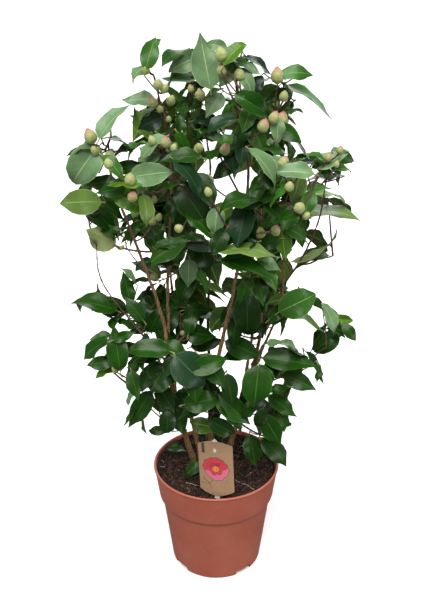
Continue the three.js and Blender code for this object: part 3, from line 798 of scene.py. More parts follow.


# The leaves that lead each mass and give it its outline. Each has its middle's place across and up
# in the mass, as shares of its half size, the way it points as seen from the front (0 is right, 90
# is up), its length in mm, how broad it looks as a share of that, and its tone. A leaf whose tone
# is pale shows its under side. Grey paints the sheen of the overhead light on an upturned leaf,
# and the deep and dark greens are partly painted shade on low and hidden leaves.
leading_leaves = {
    "top_left_tip": [
        (0.2, 0.4, 74, 52, 0.5, "middle"), (-0.6, -0.5, 222, 44, 0.34, "grey"),
        (0.45, 0.75, 40, 26, 0.5, "middle")],
    "upper_left": [
        (-0.3, 0.4, 176, 52, 0.38, "grey"), (0.1, -0.8, 204, 42, 0.66, "teal"),
        (0.0, -0.25, 195, 34, 0.25, "grey")],
    "far_left_top": [
        (0.2, 0.42, 58, 70, 0.46, "grey"), (0.45, -0.62, -8, 50, 0.2, "middle"),
        (0.4, -1.0, 200, 40, 0.4, "dark")],
    "far_left_tip": [
        (0.1, 0.0, 232, 80, 0.68, "grey"), (0.1, 0.85, 178, 50, 0.3, "deep"),
        (0.8, -0.7, 172, 50, 0.45, "dark"), (0.75, 0.3, 300, 40, 0.4, "dark")],
    "left_shoulder": [
        (-0.35, 0.0, 215, 56, 0.4, "grey"), (-0.55, -0.7, 200, 48, 0.4, "grey"),
        (0.55, -0.35, 330, 60, 0.34, "dark"), (-0.9, 0.1, 190, 36, 0.22, "middle"),
        (0.85, 0.1, 300, 44, 0.4, "dark")],
    "left_face": [
        (-0.3, 0.12, 168, 52, 0.36, "fresh"), (0.8, 0.45, 8, 66, 0.5, "grey"),
        (0.0, -0.68, 332, 62, 0.5, "fresh"), (-0.05, 0.75, 15, 44, 0.5, "deep"),
        (-0.6, 0.7, 320, 46, 0.4, "middle"), (0.5, -1.1, 285, 50, 0.45, "olive"),
        (-0.8, -0.2, 190, 44, 0.5, "dark")],
    "far_left_low": [
        (-0.35, 0.45, 182, 72, 0.58, "olive"), (0.55, -0.5, 329, 92, 0.32, "deep"),
        (-0.1, 0.95, 240, 40, 0.5, "dark"), (0.85, 0.1, 320, 60, 0.5, "dark")],
    "left_under": [(-0.5, 0.05, 150, 58, 0.74, "pale"), (-0.1, 0.55, 170, 40, 0.4, "dark")],
    "left_inner": [
        (0.5, -0.45, 203, 80, 0.42, "middle"), (-0.35, 0.15, 130, 38, 0.3, "dark"),
        (0.1, -0.8, 170, 60, 0.25, "dark"), (0.4, 0.35, 80, 34, 0.45, "dark"),
        (-0.45, -0.9, 200, 36, 0.4, "teal"), (0.85, -0.1, 20, 50, 0.3, "middle"),
        (-0.75, 0.45, 60, 42, 0.5, "dark")],
    "centre_left_face": [
        (0.25, 0.35, 320, 72, 0.34, "teal"), (0.4, -0.4, 304, 84, 0.52, "deep"),
        (-0.2, 0.9, 175, 60, 0.34, "dark"), (-0.55, -0.45, 268, 46, 0.5, "deep"),
        (-0.7, 0.15, 182, 30, 0.3, "dark"), (0.9, 0.0, 300, 60, 0.45, "deep")],
    "centre_left_high": [
        (-0.55, 0.35, 104, 36, 0.5, "dark"), (0.75, 0.4, 0, 48, 0.4, "teal"),
        (0.2, -0.1, 300, 40, 0.5, "dark"), (-0.2, 1.1, 185, 48, 0.45, "middle"),
        (0.85, -0.3, 340, 44, 0.4, "grey")],
    "top_centre_left": [
        (0.5, 0.25, 101, 82, 0.56, "grey"), (-0.3, 0.15, 205, 62, 0.5, "grey"),
        (-0.35, -0.45, 178, 66, 0.26, "grey"), (-0.2, -0.82, 204, 50, 0.25, "middle"),
        (0.8, -1.4, 238, 44, 0.7, "grey"), (0.3, -0.75, 190, 44, 0.3, "dark")],
    "top_centre": [
        (0.05, 0.5, 55, 52, 0.42, "fresh"), (-0.3, -0.5, 235, 44, 0.66, "grey"),
        (0.6, -0.2, -16, 56, 0.4, "grey"), (-0.8, 0.7, 168, 36, 0.5, "grey"),
        (0.5, -0.8, 305, 50, 0.45, "grey"), (0.2, 0.0, 340, 44, 0.4, "middle")],
    "top_right": [
        (0.2, 0.55, 12, 54, 0.46, "middle"), (0.58, -0.48, 328, 88, 0.34, "middle"),
        (-0.5, 0.35, 184, 56, 0.34, "grey"), (-0.4, -0.3, 205, 44, 0.5, "dark"),
        (-0.95, 0.0, 242, 46, 0.5, "teal"), (0.1, -0.8, 18, 34, 0.25, "middle"),
        (-0.15, -0.85, 230, 40, 0.5, "dark")],
    "centre_right_high": [
        (0.35, 0.75, 330, 62, 0.52, "dark"), (0.0, 0.25, 250, 44, 0.55, "middle"),
        (0.5, -0.35, 300, 56, 0.5, "middle"), (-1.2, 0.15, 182, 62, 0.28, "teal"),
        (-0.7, 0.75, 190, 36, 0.4, "dark"), (-0.3, -0.3, 235, 50, 0.5, "deep"),
        (-0.2, -0.9, 265, 46, 0.5, "teal")],
    "centre_high": [
        (0.4, 0.15, 176, 40, 0.42, "middle"), (0.5, -0.25, 202, 44, 0.4, "middle"),
        (0.2, -0.95, 216, 54, 0.5, "dark"), (-0.9, 0.5, 185, 44, 0.3, "dark"),
        (-0.7, -0.4, 200, 44, 0.4, "dark"), (0.9, -0.6, 280, 50, 0.5, "teal")],
    "right_high": [
        (-0.1, 0.35, 268, 40, 0.5, "grey"), (0.5, 0.3, 328, 46, 0.5, "dark"),
        (-0.15, -0.3, 352, 46, 0.38, "middle"), (-0.7, -0.7, 250, 46, 0.5, "dark"),
        (0.2, -0.85, 330, 40, 0.5, "grey")],
    "right_face": [
        (-0.7, 0.9, 318, 76, 0.36, "grey"), (0.25, 0.85, 172, 58, 0.4, "grey"),
        (-0.55, -0.6, 322, 52, 0.38, "dark"), (0.4, 0.15, 258, 44, 0.66, "olive"),
        (-0.8, 0.45, 215, 44, 0.5, "deep"), (-0.35, 0.0, 228, 46, 0.3, "middle"),
        (0.85, -0.5, 250, 46, 0.5, "middle"), (-1.1, 0.1, 250, 50, 0.5, "dark"),
        (0.1, -0.95, 190, 50, 0.3, "dark")],
    "far_right_top": [
        (-0.45, 0.55, 18, 54, 0.24, "middle"), (0.15, 0.45, 26, 56, 0.4, "grey"),
        (0.7, 0.1, 8, 34, 0.4, "middle"), (-0.2, -0.25, 184, 62, 0.32, "grey"),
        (-0.55, -0.7, 180, 46, 0.42, "middle"), (0.0, 0.0, 320, 34, 0.5, "dark"),
        (0.5, 0.8, 10, 28, 0.4, "middle")],
    "far_right_tip": [
        (0.05, -0.3, 5, 106, 0.2, "olive"), (0.15, 0.7, 4, 62, 0.22, "olive"),
        (-0.95, -1.2, 250, 44, 0.5, "middle"), (-0.6, 0.6, 190, 44, 0.3, "middle")],
    "far_right_low": [
        (0.0, 0.2, 14, 100, 0.2, "pale"), (-0.35, -0.6, 190, 62, 0.4, "grey"),
        (-0.7, 0.9, 280, 36, 0.5, "middle")],
    "centre_face": [
        (0.25, 0.8, 176, 76, 0.24, "dark"), (0.4, -0.05, 258, 70, 0.56, "teal"),
        (-0.7, 0.1, 264, 42, 0.7, "grey"), (0.9, -0.4, 262, 52, 0.4, "dark"),
        (-0.6, -0.6, 240, 48, 0.5, "deep"), (0.3, -0.85, 200, 56, 0.4, "teal"),
        (-1.3, 0.0, 325, 62, 0.36, "dark")],
    "centre_right_mid": [
        (-0.3, -0.35, 195, 50, 0.5, "dark"), (0.6, -0.4, 278, 52, 0.54, "fresh"),
        (1.2, 0.1, 340, 46, 0.45, "middle"), (-0.2, 0.6, 170, 44, 0.4, "dark"),
        (0.8, 0.75, 240, 44, 0.6, "middle"), (0.1, -0.9, 190, 50, 0.3, "middle")],
    "centre_low_left": [
        (0.3, 0.55, 4, 66, 0.3, "teal"), (-0.35, -0.4, 268, 48, 0.6, "grey"),
        (0.3, 0.1, 280, 60, 0.56, "deep"), (-0.75, 0.25, 258, 40, 0.6, "middle"),
        (0.3, -0.75, 308, 46, 0.4, "middle"), (0.8, -1.0, 344, 66, 0.25, "olive"),
        (-0.5, -0.95, 250, 60, 0.6, "dark"), (0.75, 0.15, 350, 44, 0.5, "deep"),
        (-0.2, 0.85, 170, 44, 0.4, "dark")],
    "centre_low_face": [
        (0.0, 0.15, 344, 88, 0.4, "dark"), (0.0, 1.05, 16, 88, 0.2, "olive"),
        (0.65, -0.1, 314, 56, 0.4, "middle"), (0.7, 0.35, 350, 46, 0.4, "grey"),
        (-0.2, -0.8, 250, 44, 0.5, "dark"), (0.4, -0.8, 280, 44, 0.5, "dark")],
    "lower_left_tip": [
        (-0.35, -0.25, 160, 90, 0.4, "dark"), (1.1, 0.55, 104, 56, 0.5, "dark"),
        (1.15, 1.15, 130, 34, 0.4, "grey")],
    "lower_left_inner": [
        (-0.3, 0.65, 128, 50, 0.5, "dark"), (0.6, 0.2, 62, 54, 0.56, "deep"),
        (0.1, 0.6, 100, 44, 0.5, "teal"), (-0.1, -0.35, 190, 54, 0.4, "dark"),
        (0.75, -0.5, 120, 50, 0.4, "deep"), (-0.7, 0.0, 150, 40, 0.4, "middle")],
    "low_left_tip": [
        (0.5, 0.35, 98, 76, 0.5, "middle"), (-0.25, 0.7, 190, 36, 0.36, "middle"),
        (-0.4, -0.25, 180, 46, 0.46, "middle"), (-0.1, -0.5, 202, 50, 0.4, "fresh"),
        (0.9, 0.75, 20, 40, 0.5, "dark")],
    "low_left_face": [
        (-0.1, 0.9, 170, 72, 0.42, "middle"), (-0.2, 0.45, 184, 64, 0.28, "dark"),
        (0.3, -0.4, 238, 60, 0.74, "dark"), (-0.6, -0.65, 284, 50, 0.5, "middle"),
        (0.8, 0.2, 250, 46, 0.5, "deep")],
    "foot_left": [
        (-0.6, -0.05, 238, 76, 0.5, "dark"), (0.2, 0.5, 300, 54, 0.56, "dark"),
        (0.55, -0.5, 286, 58, 0.54, "middle"), (-0.15, -1.0, 182, 34, 0.5, "dark"),
        (0.2, -0.75, 268, 50, 0.54, "deep"), (1.15, -0.7, 172, 48, 0.6, "fresh"),
        (0.6, 0.3, 260, 50, 0.5, "deep"), (-0.85, 0.5, 240, 28, 0.4, "grey")],
    "low_centre_left": [
        (0.4, -0.4, 350, 54, 0.74, "dark"), (-0.75, 0.2, 62, 50, 0.5, "deep"),
        (0.35, 0.6, 0, 50, 0.5, "deep"), (-0.3, -0.5, 280, 50, 0.5, "dark"),
        (0.0, 0.15, 80, 44, 0.5, "dark"), (-0.7, -0.6, 330, 50, 0.4, "dark"),
        (0.7, -0.8, 12, 62, 0.5, "deep")],
    "low_centre_face": [
        (-0.15, 0.0, 314, 74, 0.74, "teal"), (0.6, 0.35, 18, 66, 0.5, "middle"),
        (-0.7, 0.8, 330, 48, 0.4, "dark"), (0.2, -0.8, 280, 50, 0.5, "deep")],
    "low_centre_right": [
        (0.25, 0.2, 272, 80, 0.56, "deep"), (0.15, -0.85, 336, 70, 0.5, "middle"),
        (-0.6, 0.3, 238, 50, 0.5, "dark"), (0.8, 0.0, 280, 50, 0.5, "deep"),
        (-0.3, -0.3, 262, 54, 0.5, "dark"), (0.75, 0.7, 300, 40, 0.5, "dark"),
        (-0.2, -0.95, 205, 62, 0.5, "deep")],
    "right_big_leaf": [
        (0.05, 0.05, 26, 76, 0.62, "middle"), (-0.9, -0.4, 40, 46, 0.5, "dark"),
        (-0.8, -0.85, 30, 40, 0.4, "middle")],
    "far_right_lower": [
        (-1.25, 0.6, 343, 92, 0.26, "fresh"), (-0.2, 0.5, 300, 60, 0.42, "grey"),
        (-0.45, -0.4, 218, 62, 0.62, "dark"), (0.3, 0.5, 356, 44, 0.5, "fresh"),
        (0.6, 0.0, 308, 40, 0.5, "middle"), (0.1, 0.0, 340, 40, 0.4, "middle")],
    "low_right": [
        (-0.1, 0.1, 356, 90, 0.46, "dark"), (0.25, -0.7, 334, 60, 0.5, "middle"),
        (0.85, -0.4, 280, 34, 0.4, "middle"), (-0.8, -0.4, 232, 46, 0.5, "deep"),
        (-0.55, -1.0, 190, 40, 0.4, "dark"), (-0.3, 0.75, 8, 60, 0.22, "grey")],
    "low_right_face": [
        (0.0, 0.1, 264, 72, 0.68, "dark"), (-0.4, -0.8, 240, 44, 0.5, "deep"),
        (0.5, 0.5, 300, 50, 0.4, "dark")],
    "foot_centre": [
        (-0.6, 0.2, 10, 66, 0.54, "middle"), (0.45, -0.2, 316, 76, 0.52, "dark"),
        (0.1, -1.0, 330, 56, 0.5, "deep"), (-0.3, -0.5, 262, 50, 0.5, "deep"),
        (0.3, 0.6, 280, 54, 0.5, "deep")],
    "foot_right": [
        (-0.1, -0.1, 300, 64, 0.56, "dark"), (0.3, 0.75, 330, 60, 0.4, "dark"),
        (0.1, -0.85, 322, 70, 0.42, "deep"), (-0.95, -0.8, 280, 60, 0.6, "dark"),
        (-0.7, 0.3, 250, 44, 0.5, "deep"), (0.3, 0.2, 290, 50, 0.5, "middle")],
}

bud_height = 25 * MM
bud_width = 19 * MM

# The flower buds, placed in their masses in the same way, with their height in mm and whether
# their point is flushed with pink.
leading_buds = {
    "top_left_tip": [(-0.1, -0.2, 18, 0), (0.55, -0.85, 20, 0), (0.8, -1.1, 17, 0)],
    "upper_left": [(0.35, 0.45, 21, 1), (0.95, 0.5, 18, 0), (0.6, 0.05, 14, 0), (0.9, -0.5, 12, 0)],
    "far_left_top": [(-0.75, -0.15, 27, 1), (-0.55, -0.75, 19, 0), (-0.1, -1.0, 23, 0)],
    "left_face": [(-0.05, 0.4, 22, 0), (0.0, -0.25, 19, 1), (-0.75, 0.95, 17, 0)],
    "left_shoulder": [(0.2, 0.5, 21, 1), (0.45, 0.2, 17, 0), (-0.2, 0.5, 17, 0)],
    "left_inner": [(0.0, 0.85, 19, 0), (0.3, 0.95, 14, 0)],
    "left_under": [(0.5, -0.45, 11, 0)],
    "centre_left_face": [(-0.2, -0.85, 16, 0)],
    "centre_left_high": [(-0.5, 0.0, 19, 0), (0.3, -0.85, 18, 0)],
    "top_centre_left": [(0.3, -0.8, 21, 0), (0.0, -0.7, 14, 1)],
    "top_centre": [(-0.45, 0.5, 27, 0), (-0.45, -0.15, 22, 1), (0.2, -0.35, 22, 0)],
    "top_right": [(-0.35, 0.6, 28, 1), (-0.2, -0.15, 20, 0), (-0.25, -0.95, 25, 1)],
    "centre_right_high": [(0.65, 0.2, 22, 1)],
    "centre_high": [(0.3, 0.0, 22, 1), (-0.55, -1.15, 21, 0), (-1.2, 0.0, 16, 0)],
    "right_high": [(0.05, -0.6, 22, 1), (0.55, -0.8, 23, 0), (-0.4, 1.05, 20, 1)],
    "right_face": [(0.1, 0.4, 17, 0), (0.5, -0.35, 21, 0), (0.7, -0.75, 14, 0)],
    "far_right_top": [(0.0, 0.65, 15, 1), (0.45, 0.95, 15, 1), (0.35, 0.35, 13, 0)],
    "centre_right_mid": [(-0.4, 0.3, 21, 0), (0.15, 0.4, 21, 1)],
    "centre_face": [(-0.95, 1.2, 16, 0)],
    "low_centre_left": [(-0.35, -0.3, 11, 0), (-0.1, -0.12, 13, 0)],
    "low_left_tip": [(0.45, -0.38, 16, 0)],
}

view_tilt = math.radians(23)  # the shrub is looked at from a little above its front
front = np.array((0, -math.cos(view_tilt), math.sin(view_tilt)))
rightward = np.array((1.0, 0, 0))
upward = np.cross(front, rightward)
wood_points = np.concatenate([route for route, _ in limbs.values()])


def grow_twig(end, thick, thin, sag, steps=6):
    """A twig to a place, from near wood below it and clear of the gaps; its radii are in mm."""
    global wood_points
    cost = np.linalg.norm((wood_points - end) * (1.35, 1.35, 0.85), axis=1)
    cost = cost + 1.2 * np.maximum(0, wood_points[:, 2] - end[2] + 6 * MM)
    routes = []
    for choice in cost.argsort()[:60:12]:
        route = bowed(wood_points[choice], end, sag * min(1, cost[choice] / (60 * MM)), steps)
        routes.append((cost[choice] + 12 * MM * open_sky(route).sum(), len(routes), route))
    route = min(routes)[2]
    twigs.add(*tube(route, np.linspace(thick, thin, steps) * MM, 5)[:2], 0)
    wood_points = np.concatenate([wood_points, route[1:]])
    return route


def lead_leaf(part, centre, half, number, across, up, heading, length, broad, tone):
    """Grows one of the leaves that lead a mass, with the twig and the stalk that carry it."""
    global lead_marks, lead_reaches
    depth = half[1] * (0.5 - 0.22 * (number % 4))
    middle = centre + np.array((across * half[0], 0, up * half[2]))
    middle = middle + unit(eye - middle) * depth
    turn = math.radians(heading)
    along = unit(rightward * math.cos(turn) + upward * math.sin(turn) + front * dice.uniform(0.05, 0.3))
    facing = unit(front - along * (front @ along))
    aside = np.cross(along, facing)
    aside = aside if aside[2] > 0 else -aside
    whole = max(0.5, broad)
    roll = math.acos(min(1.0, broad / whole))
    rise = facing * math.cos(roll) + aside * math.sin(roll)
    under = tone == "pale"
    length = length * 1.1 * MM
    curl = math.radians(dice.uniform(20, 66))
    base = middle - along * length * 0.5 + (-rise if under else rise) * length * math.sin(curl) * 0.12
    form = leaf_form(curl, (10, 38), (1.8, 5.2), 36, (-1.0, 1.3))
    rise = -rise if under else rise
    points = blade_points(base, along, rise, length, length * whole * 1.04, form)
    # A leaf showing its under side takes the olive under colour. In the lower tier a middle green leaf is
    # drawn dark, which is painted shade.
    shade = "olive" if under else "dark" if tone == "middle" and part is leaf_parts["lower"] else tone
    joint = base - along * stalk_length * 0.8 - np.array((0, 0, 2 * MM))
    add_leaf(part, joint, base, middle, along, rise, points, shade)
    grow_twig(joint, 1.3, 1.0, 6 * MM)
    seen = np.array([middle + along * length * s for s in (-0.32, -0.1, 0.12, 0.34)]) - eye
    reaches = np.linalg.norm(seen, axis=1)
    lead_marks = np.concatenate([lead_marks, seen / reaches[:, None]])
    lead_reaches = np.concatenate([lead_reaches, reaches])


# A few leaves low down belong to no mass: shed ones on the peat and young ones at the stems' feet.
# Each has its middle's place, the way it points, the way it faces, its length in mm and its tone.
loose_leaves = (
    ((-0.076, 0.046, soil_level + 11 * MM), (0.95, -0.15, 0.1), (0.1, -0.5, 1.0), 44, "dark"),
    ((0.055, 0.06, soil_level + 8 * MM), (-0.5, 0.8, 0.0), (0.2, 0.1, 1.0), 34, "olive"),
    ((-0.046, -0.03, soil_level + 16 * MM), (-0.8, -0.3, -0.35), (-0.1, -0.6, 0.9), 48, "dark"),
    ((-0.01, 0.06, soil_level + 26 * MM), (-0.5, 0.1, 0.7), (-0.2, -0.9, 0.5), 52, "deep"),
    ((0.03, 0.085, soil_level + 30 * MM), (0.6, 0.3, 0.6), (0.2, 0.6, 0.8), 54, "dark"),
)
for place, along, up, length, tone in loose_leaves:
    along, up = unit(np.array(along)), unit(np.array(up))
    form = {
        "curl": math.radians(40), "fold": math.radians(30), "wave": 2.6 * MM,
        "phase": dice.uniform(0, math.tau), "twist": math.radians(25), "flick": 0.5, "rim": 0.5,
    }
    base = np.array(place) - along * length * MM / 2
    points = blade_points(base, along, up, length * MM, length * 0.54 * MM, form)
    skins = (blade_skins + 2 * tones.index(tone)).tolist()
    leaf_parts["lower"].add(points, blade_face_list, skins, blade_uv)
    if place[2] > soil_level + 13 * MM:
        grow_twig(base, 1.2, 0.9, 3 * MM)

# First each mass gets the twig, the buds and the leaves that lead it.
for name, centre, half in zip(masses, mass_centres, mass_halves):
    mass = name.removeprefix("foliage_")
    part = leaf_parts[tier_of(centre)[1]]
    grow_twig(centre - (0, 0, half[2] * 0.35), 2.0, 1.6, 8 * MM)
    for across, up, height, flushed in leading_buds.get(mass, []):
        place = centre + np.array((across * half[0], 0, up * half[2] - height * MM * 0.4))
        place = place + unit(eye - place) * half[1] * 0.5
        route = grow_twig(place - (0, 0, height * MM * 0.3), 1.7, 1.4, 8 * MM)
        tilt = unit(unit(route[-1] - route[-3]) + np.array((0, 0, 1.3)) + dice.normal(size=3) * 0.16)
        bud_places.append((route[-1], tilt, height / (bud_height / MM), flushed))
    for number, leaf in enumerate(leading_leaves.get(mass, [])):
        lead_leaf(part, centre, half, number, *leaf)

# Then shoots with smaller leaves fill the masses. A leaf has this room, in square mm as seen from
# the front: more in a mass that has leading leaves than in one at the back.
led_room = {"upper": 2900, "middle": 1800, "lower": 1300}
back_room = {"upper": 640, "middle": 460, "lower": 460}
leaves_to_shoot = 3.6
for name, centre, half in zip(masses, mass_centres, mass_halves):
    led = name.removeprefix("foliage_") in leading_leaves
    height_share, tier = tier_of(centre)
    part = leaf_parts[tier]
    area = math.pi * half[0] * half[2]
    leaf_total = max(1, round(area / ((led_room if led else back_room)[tier] * MM ** 2)))
    shoot_total = max(1, round(leaf_total / leaves_to_shoot))
    set_back = np.array((0, half[1] * (0.5 if led else 0.1), half[2] * 0.05))
    ends = []
    for _ in range(shoot_total):
        tries = [inside(centre + set_back, half, 0.62) for _ in range(16)]
        room = [min([np.linalg.norm((t - e) / half) for e in ends] or [t[2] - centre[2]]) for t in tries]
        ends.append(tries[int(np.argmax(room))])
    for end in ends:
        route = grow_twig(end, 1.6, 1.1, 9 * MM, 8)
        heading = unit(route[-1] - route[-3])
        flat = unit(np.cross(heading, (0.2, 0.1, 1.0)))
        over = np.cross(heading, flat)
        count = max(1, round(leaf_total / shoot_total) + int(dice.integers(0, 2)))
        start = dice.uniform(0, math.tau)
        drop = np.interp(height_share, (0, 0.5, 1), (1.15, 0.55, 0.15))
        # The fillers' tones paint light and shade: inner and lower shoots mostly take the deep and dark
        # greens as painted shade, and upper shoots at the back take some grey green, a painted sheen.
        roll = dice.uniform()
        tone = "deep" if roll < 0.5 else "dark" if roll < 0.84 else "teal" if roll < 0.92 else "middle"
        if height_share > 0.6 and not led:
            tone = "grey" if roll < 0.2 else "middle" if roll < 0.5 else "dark"
        size = np.clip(half.max() / (46 * MM), 0.6, 1.05)
        for k in range(count):
            share = 1 - 0.8 * k / count
            joint = route[min(7, int(round(share * 7)))]
            angle = start + k * spiral
            open_angle = math.radians(dice.uniform(42, 78))
            ray = flat * math.cos(angle) + over * math.sin(angle)
            ray = heading * math.cos(open_angle) + ray * math.sin(open_angle)
            grow_leaf(part, joint, ray, size, tone, drop * dice.uniform(0.7, 1.3), led)
        if not led and dice.uniform() < (0.7 if centre[2] > 0.64 else 0.12):
            tilt = unit(heading + np.array((0, 0, 0.9)) + dice.normal(size=3) * 0.2)
            bud_places.append((end, tilt, dice.uniform(0.6, 1.0), int(dice.uniform() < 0.3)))

# The upper skin of a camellia leaf is a thick wax-like cuticle, deep green with a paler midrib
# and faint side veins; broad soft reflections lie on it. The under side is paler and satin.
vein_count = 8


def leaf_skin(name, base, rib, roughness, coat, rib_width, relief, tint):
    """One skin of the leaves: its green, its veins and pale rim, and the quilting between veins."""
    material, shader = new_material(
        name, Roughness=roughness, Coat_Weight=coat, Coat_Roughness=0.26, Specular_IOR_Level=0.24,
        Specular_Tint=linear(tint), Coat_Tint=linear(tint))
    chart = add_node(material, "ShaderNodeTexCoord")
    sides = add_node(material, "ShaderNodeSeparateXYZ", {}, {"Vector": chart.outputs["UV"]})
    offset = add_node(material, "ShaderNodeMath", {"operation": "SUBTRACT", 1: 0.5}, {0: sides.outputs["X"]})
    out = add_node(material, "ShaderNodeMath", {"operation": "ABSOLUTE"}, {0: offset})
    midrib = add_node(
        material, "ShaderNodeMapRange",
        {"From Min": rib_width * 0.5, "From Max": rib_width, "To Min": 1.0, "To Max": 0.0},
        {"Value": out})
    slant = add_node(
        material, "ShaderNodeMath", {"operation": "MULTIPLY_ADD", 1: -0.45},
        {0: out, 2: sides.outputs["Y"]})
    beat = add_node(
        material, "ShaderNodeMath", {"operation": "MULTIPLY", 1: vein_count * math.tau}, {0: slant})
    ridge = add_node(material, "ShaderNodeMath", {"operation": "COSINE"}, {0: beat})
    vein = add_node(
        material, "ShaderNodeMapRange", {"From Min": 0.8, "From Max": 1.0, "To Max": 0.05},
        {"Value": ridge})
    margin = add_node(
        material, "ShaderNodeMapRange", {"From Min": 0.455, "From Max": 0.49, "To Max": 0.75},
        {"Value": out})
    edged = add_node(material, "ShaderNodeMath", {"operation": "MAXIMUM"}, {0: margin, 1: vein})
    lines = add_node(material, "ShaderNodeMath", {"operation": "MAXIMUM"}, {0: midrib, 1: edged})
    mottle = add_node(
        material, "ShaderNodeTexNoise", {"Scale": 1 / (35 * MM), "Detail": 4.0},
        {"Vector": chart.outputs["Object"]})
    cloud = add_node(
        material, "ShaderNodeMapRange", {"From Min": 0.35, "From Max": 0.7, "To Min": 0.78, "To Max": 1.22},
        {"Value": mottle})
    green = add_node(
        material, "ShaderNodeMixRGB", {"blend_type": "MULTIPLY", "Fac": 1.0, "Color1": linear(base)},
        {"Color2": cloud})
    colour = add_node(
        material, "ShaderNodeMixRGB", {"Color2": linear(rib)}, {"Fac": lines, "Color1": green})
    link(material, colour, shader.inputs["Base Color"])
    swell = add_node(
        material, "ShaderNodeMath", {"operation": "MULTIPLY_ADD", 1: -0.3}, {0: ridge, 2: lines})
    bump = add_node(
        material, "ShaderNodeBump", {"Strength": relief, "Distance": 0.5 * MM}, {"Height": swell})
    link(material, bump, shader.inputs["Normal"])
    return material


# Each tone's skin and midrib greens, and its under side. The grey tone paints the sheen of the overhead
# light into upturned leaves, a painted sheen. The deep, teal and dark greens are the mature leaf's own dark
# green made darker still as painted shade, for leaves low and inside the crown.
leaf_greens = {
    "deep": ("#0f3402", "#2f5214"), "teal": ("#15361a", "#3b5a34"), "dark": ("#174302", "#406618"),
    "middle": ("#34661c", "#729740"), "grey": ("#69895c", "#9fb684"), "fresh": ("#4a7512", "#8fae4e"),
    "olive": ("#65823a", "#9cae68"),
}
under_greens = {
    "deep": "#4c6c2c", "teal": "#4f6f3e", "dark": "#5f8232", "middle": "#75933e", "grey": "#8aa258",
    "fresh": "#88a53a", "olive": "#a3b274",
}
leaf_materials = []
for tone in tones:
    base, rib = leaf_greens[tone]
    sheen = "#f0f8dc" if tone in ("deep", "dark") else "#fafff4"
    leaf_materials.append(leaf_skin(f"waxy leaf {tone}", base, rib, 0.4, 0.26, 0.022, 0.35, sheen))
    leaf_materials.append(leaf_skin(
        f"leaf under side {tone}", under_greens[tone], "#93ab62", 0.55, 0.0, 0.04, 0.5, "#ffffff"))
leaf_materials.append(speckled("leaf stalk", "#6f7f3a", "#8fa04f", 0.5, 5 * MM))

for tier, part in leaf_parts.items():
    leaves = part.make(f"{tier}_leaves", leaf_materials)
    smooth(leaves, 60)
    tier_nodes = [name for name, centre in zip(masses, mass_centres) if tier_of(centre)[1] == tier]
    hand_over(leaves, f"{tier}_leaves", "leaf", *tier_nodes)

twig_bark = speckled("young twig bark", "#3b2521", "#6b4c3a", 0.6, 6 * MM)
twig_piece = twigs.make("twigs", [twig_bark])
smooth(twig_piece, 60)
hand_over(twig_piece, "twigs", "bark")

# ---------------------------------------------------------------------------------------------
# The flower buds: fat ovals of tightly overlapping scales, set in summer for the winter's
# flowers. The scales are pale yellow-green and downy, and some show a flush of pink at the top.
buds = Sheaf()


def bud_shell(share):
    """Radius of the bud, as a share of its greatest, from its foot to its point."""
    return np.sin(np.pi * np.clip(share, 0, 1) ** 0.78) ** 0.62


def scale_patch(bearing, foot, top, spread, out):
    """One scale: a cupped tongue that hugs the bud, closed by an inner skin."""
    rows, columns = 4, 5
    shares = np.linspace(0, 1, rows)
    outer = np.empty((rows, columns, 3))
    for i, s in enumerate(shares):
        height = foot + (top - foot) * s
        reach = bud_shell(height) + out * (0.35 + 0.65 * s)
        half = spread * math.sqrt(max(0.0, 1 - (s * 0.98) ** 2.4))
        angles = bearing + np.linspace(-1, 1, columns) * half
        edge = 1 - 0.05 * np.linspace(-1, 1, columns) ** 2
        outer[i] = np.stack(
            [np.cos(angles) * reach * edge, np.sin(angles) * reach * edge, np.full(columns, height)], 1)
    inner = outer.copy()
    inner[..., :2] *= 0.86
    points = np.concatenate([outer.reshape(-1, 3), inner.reshape(-1, 3)])
    total = rows * columns
    faces = []
    for i in range(rows - 1):
        for k in range(columns - 1):
            a, d = i * columns + k, (i + 1) * columns + k
            faces += [(a, a + 1, d + 1, d), (d + total, d + 1 + total, a + 1 + total, a + total)]
    rim = list(range(columns)) + [i * columns + columns - 1 for i in range(1, rows)]
    rim += [(rows - 1) * columns + k for k in range(columns - 2, -1, -1)]
    rim += [i * columns for i in range(rows - 2, 0, -1)]
    for a, b in zip(rim, rim[1:] + rim[:1]):
        faces.append((b, a, a + total, b + total))
    uv = np.array([(k / (columns - 1), s) for s in shares for k in range(columns)] * 2)
    return points, faces, uv


bud_points, bud_faces, bud_uv, bud_count = [], [], [], 0
core_heights = np.linspace(0.02, 0.98, 8)
core = tube([(0, 0, h) for h in core_heights], np.maximum(0.08, bud_shell(core_heights) * 0.97), 10)
bud_slots = []
for points, faces, uv in [core] + [
        scale_patch(bearing + turn, foot, top, spread, out)
        for foot, top, spread, out, turn in (
            (0.3, 0.99, 0.75, 0.03, 0.5), (0.12, 0.8, 0.85, 0.06, 1.5), (0.0, 0.48, 0.95, 0.09, 2.6))
        for bearing in (0, math.tau / 4, math.tau / 2, math.tau * 3 / 4)]:
    bud_faces += [tuple(int(v) + bud_count for v in face) for face in faces]
    inmost = len(bud_points) < 5  # the core and the four inmost scales, which alone can be flushed
    bud_slots += [int(inmost)] * len(faces)
    bud_points.append(points)
    bud_uv.append(uv)
    bud_count += len(points)
bud_points = np.concatenate(bud_points) * (bud_width / 2, bud_width / 2, bud_height)
bud_uv = np.concatenate(bud_uv)

for place, up, size, flushed in bud_places:
    side = unit(np.cross(up, (0.3, 0.9, 0.1)))
    frame_turn = np.array([side, np.cross(up, side), up])
    spin = dice.uniform(0, math.tau)
    about = np.array([[math.cos(spin), math.sin(spin), 0], [-math.sin(spin), math.cos(spin), 0], [0, 0, 1]])
    grown = bud_points * size * dice.uniform(0.92, 1.08, 3)
    buds.add(grown @ about @ frame_turn + place, bud_faces, [s * flushed for s in bud_slots], bud_uv)


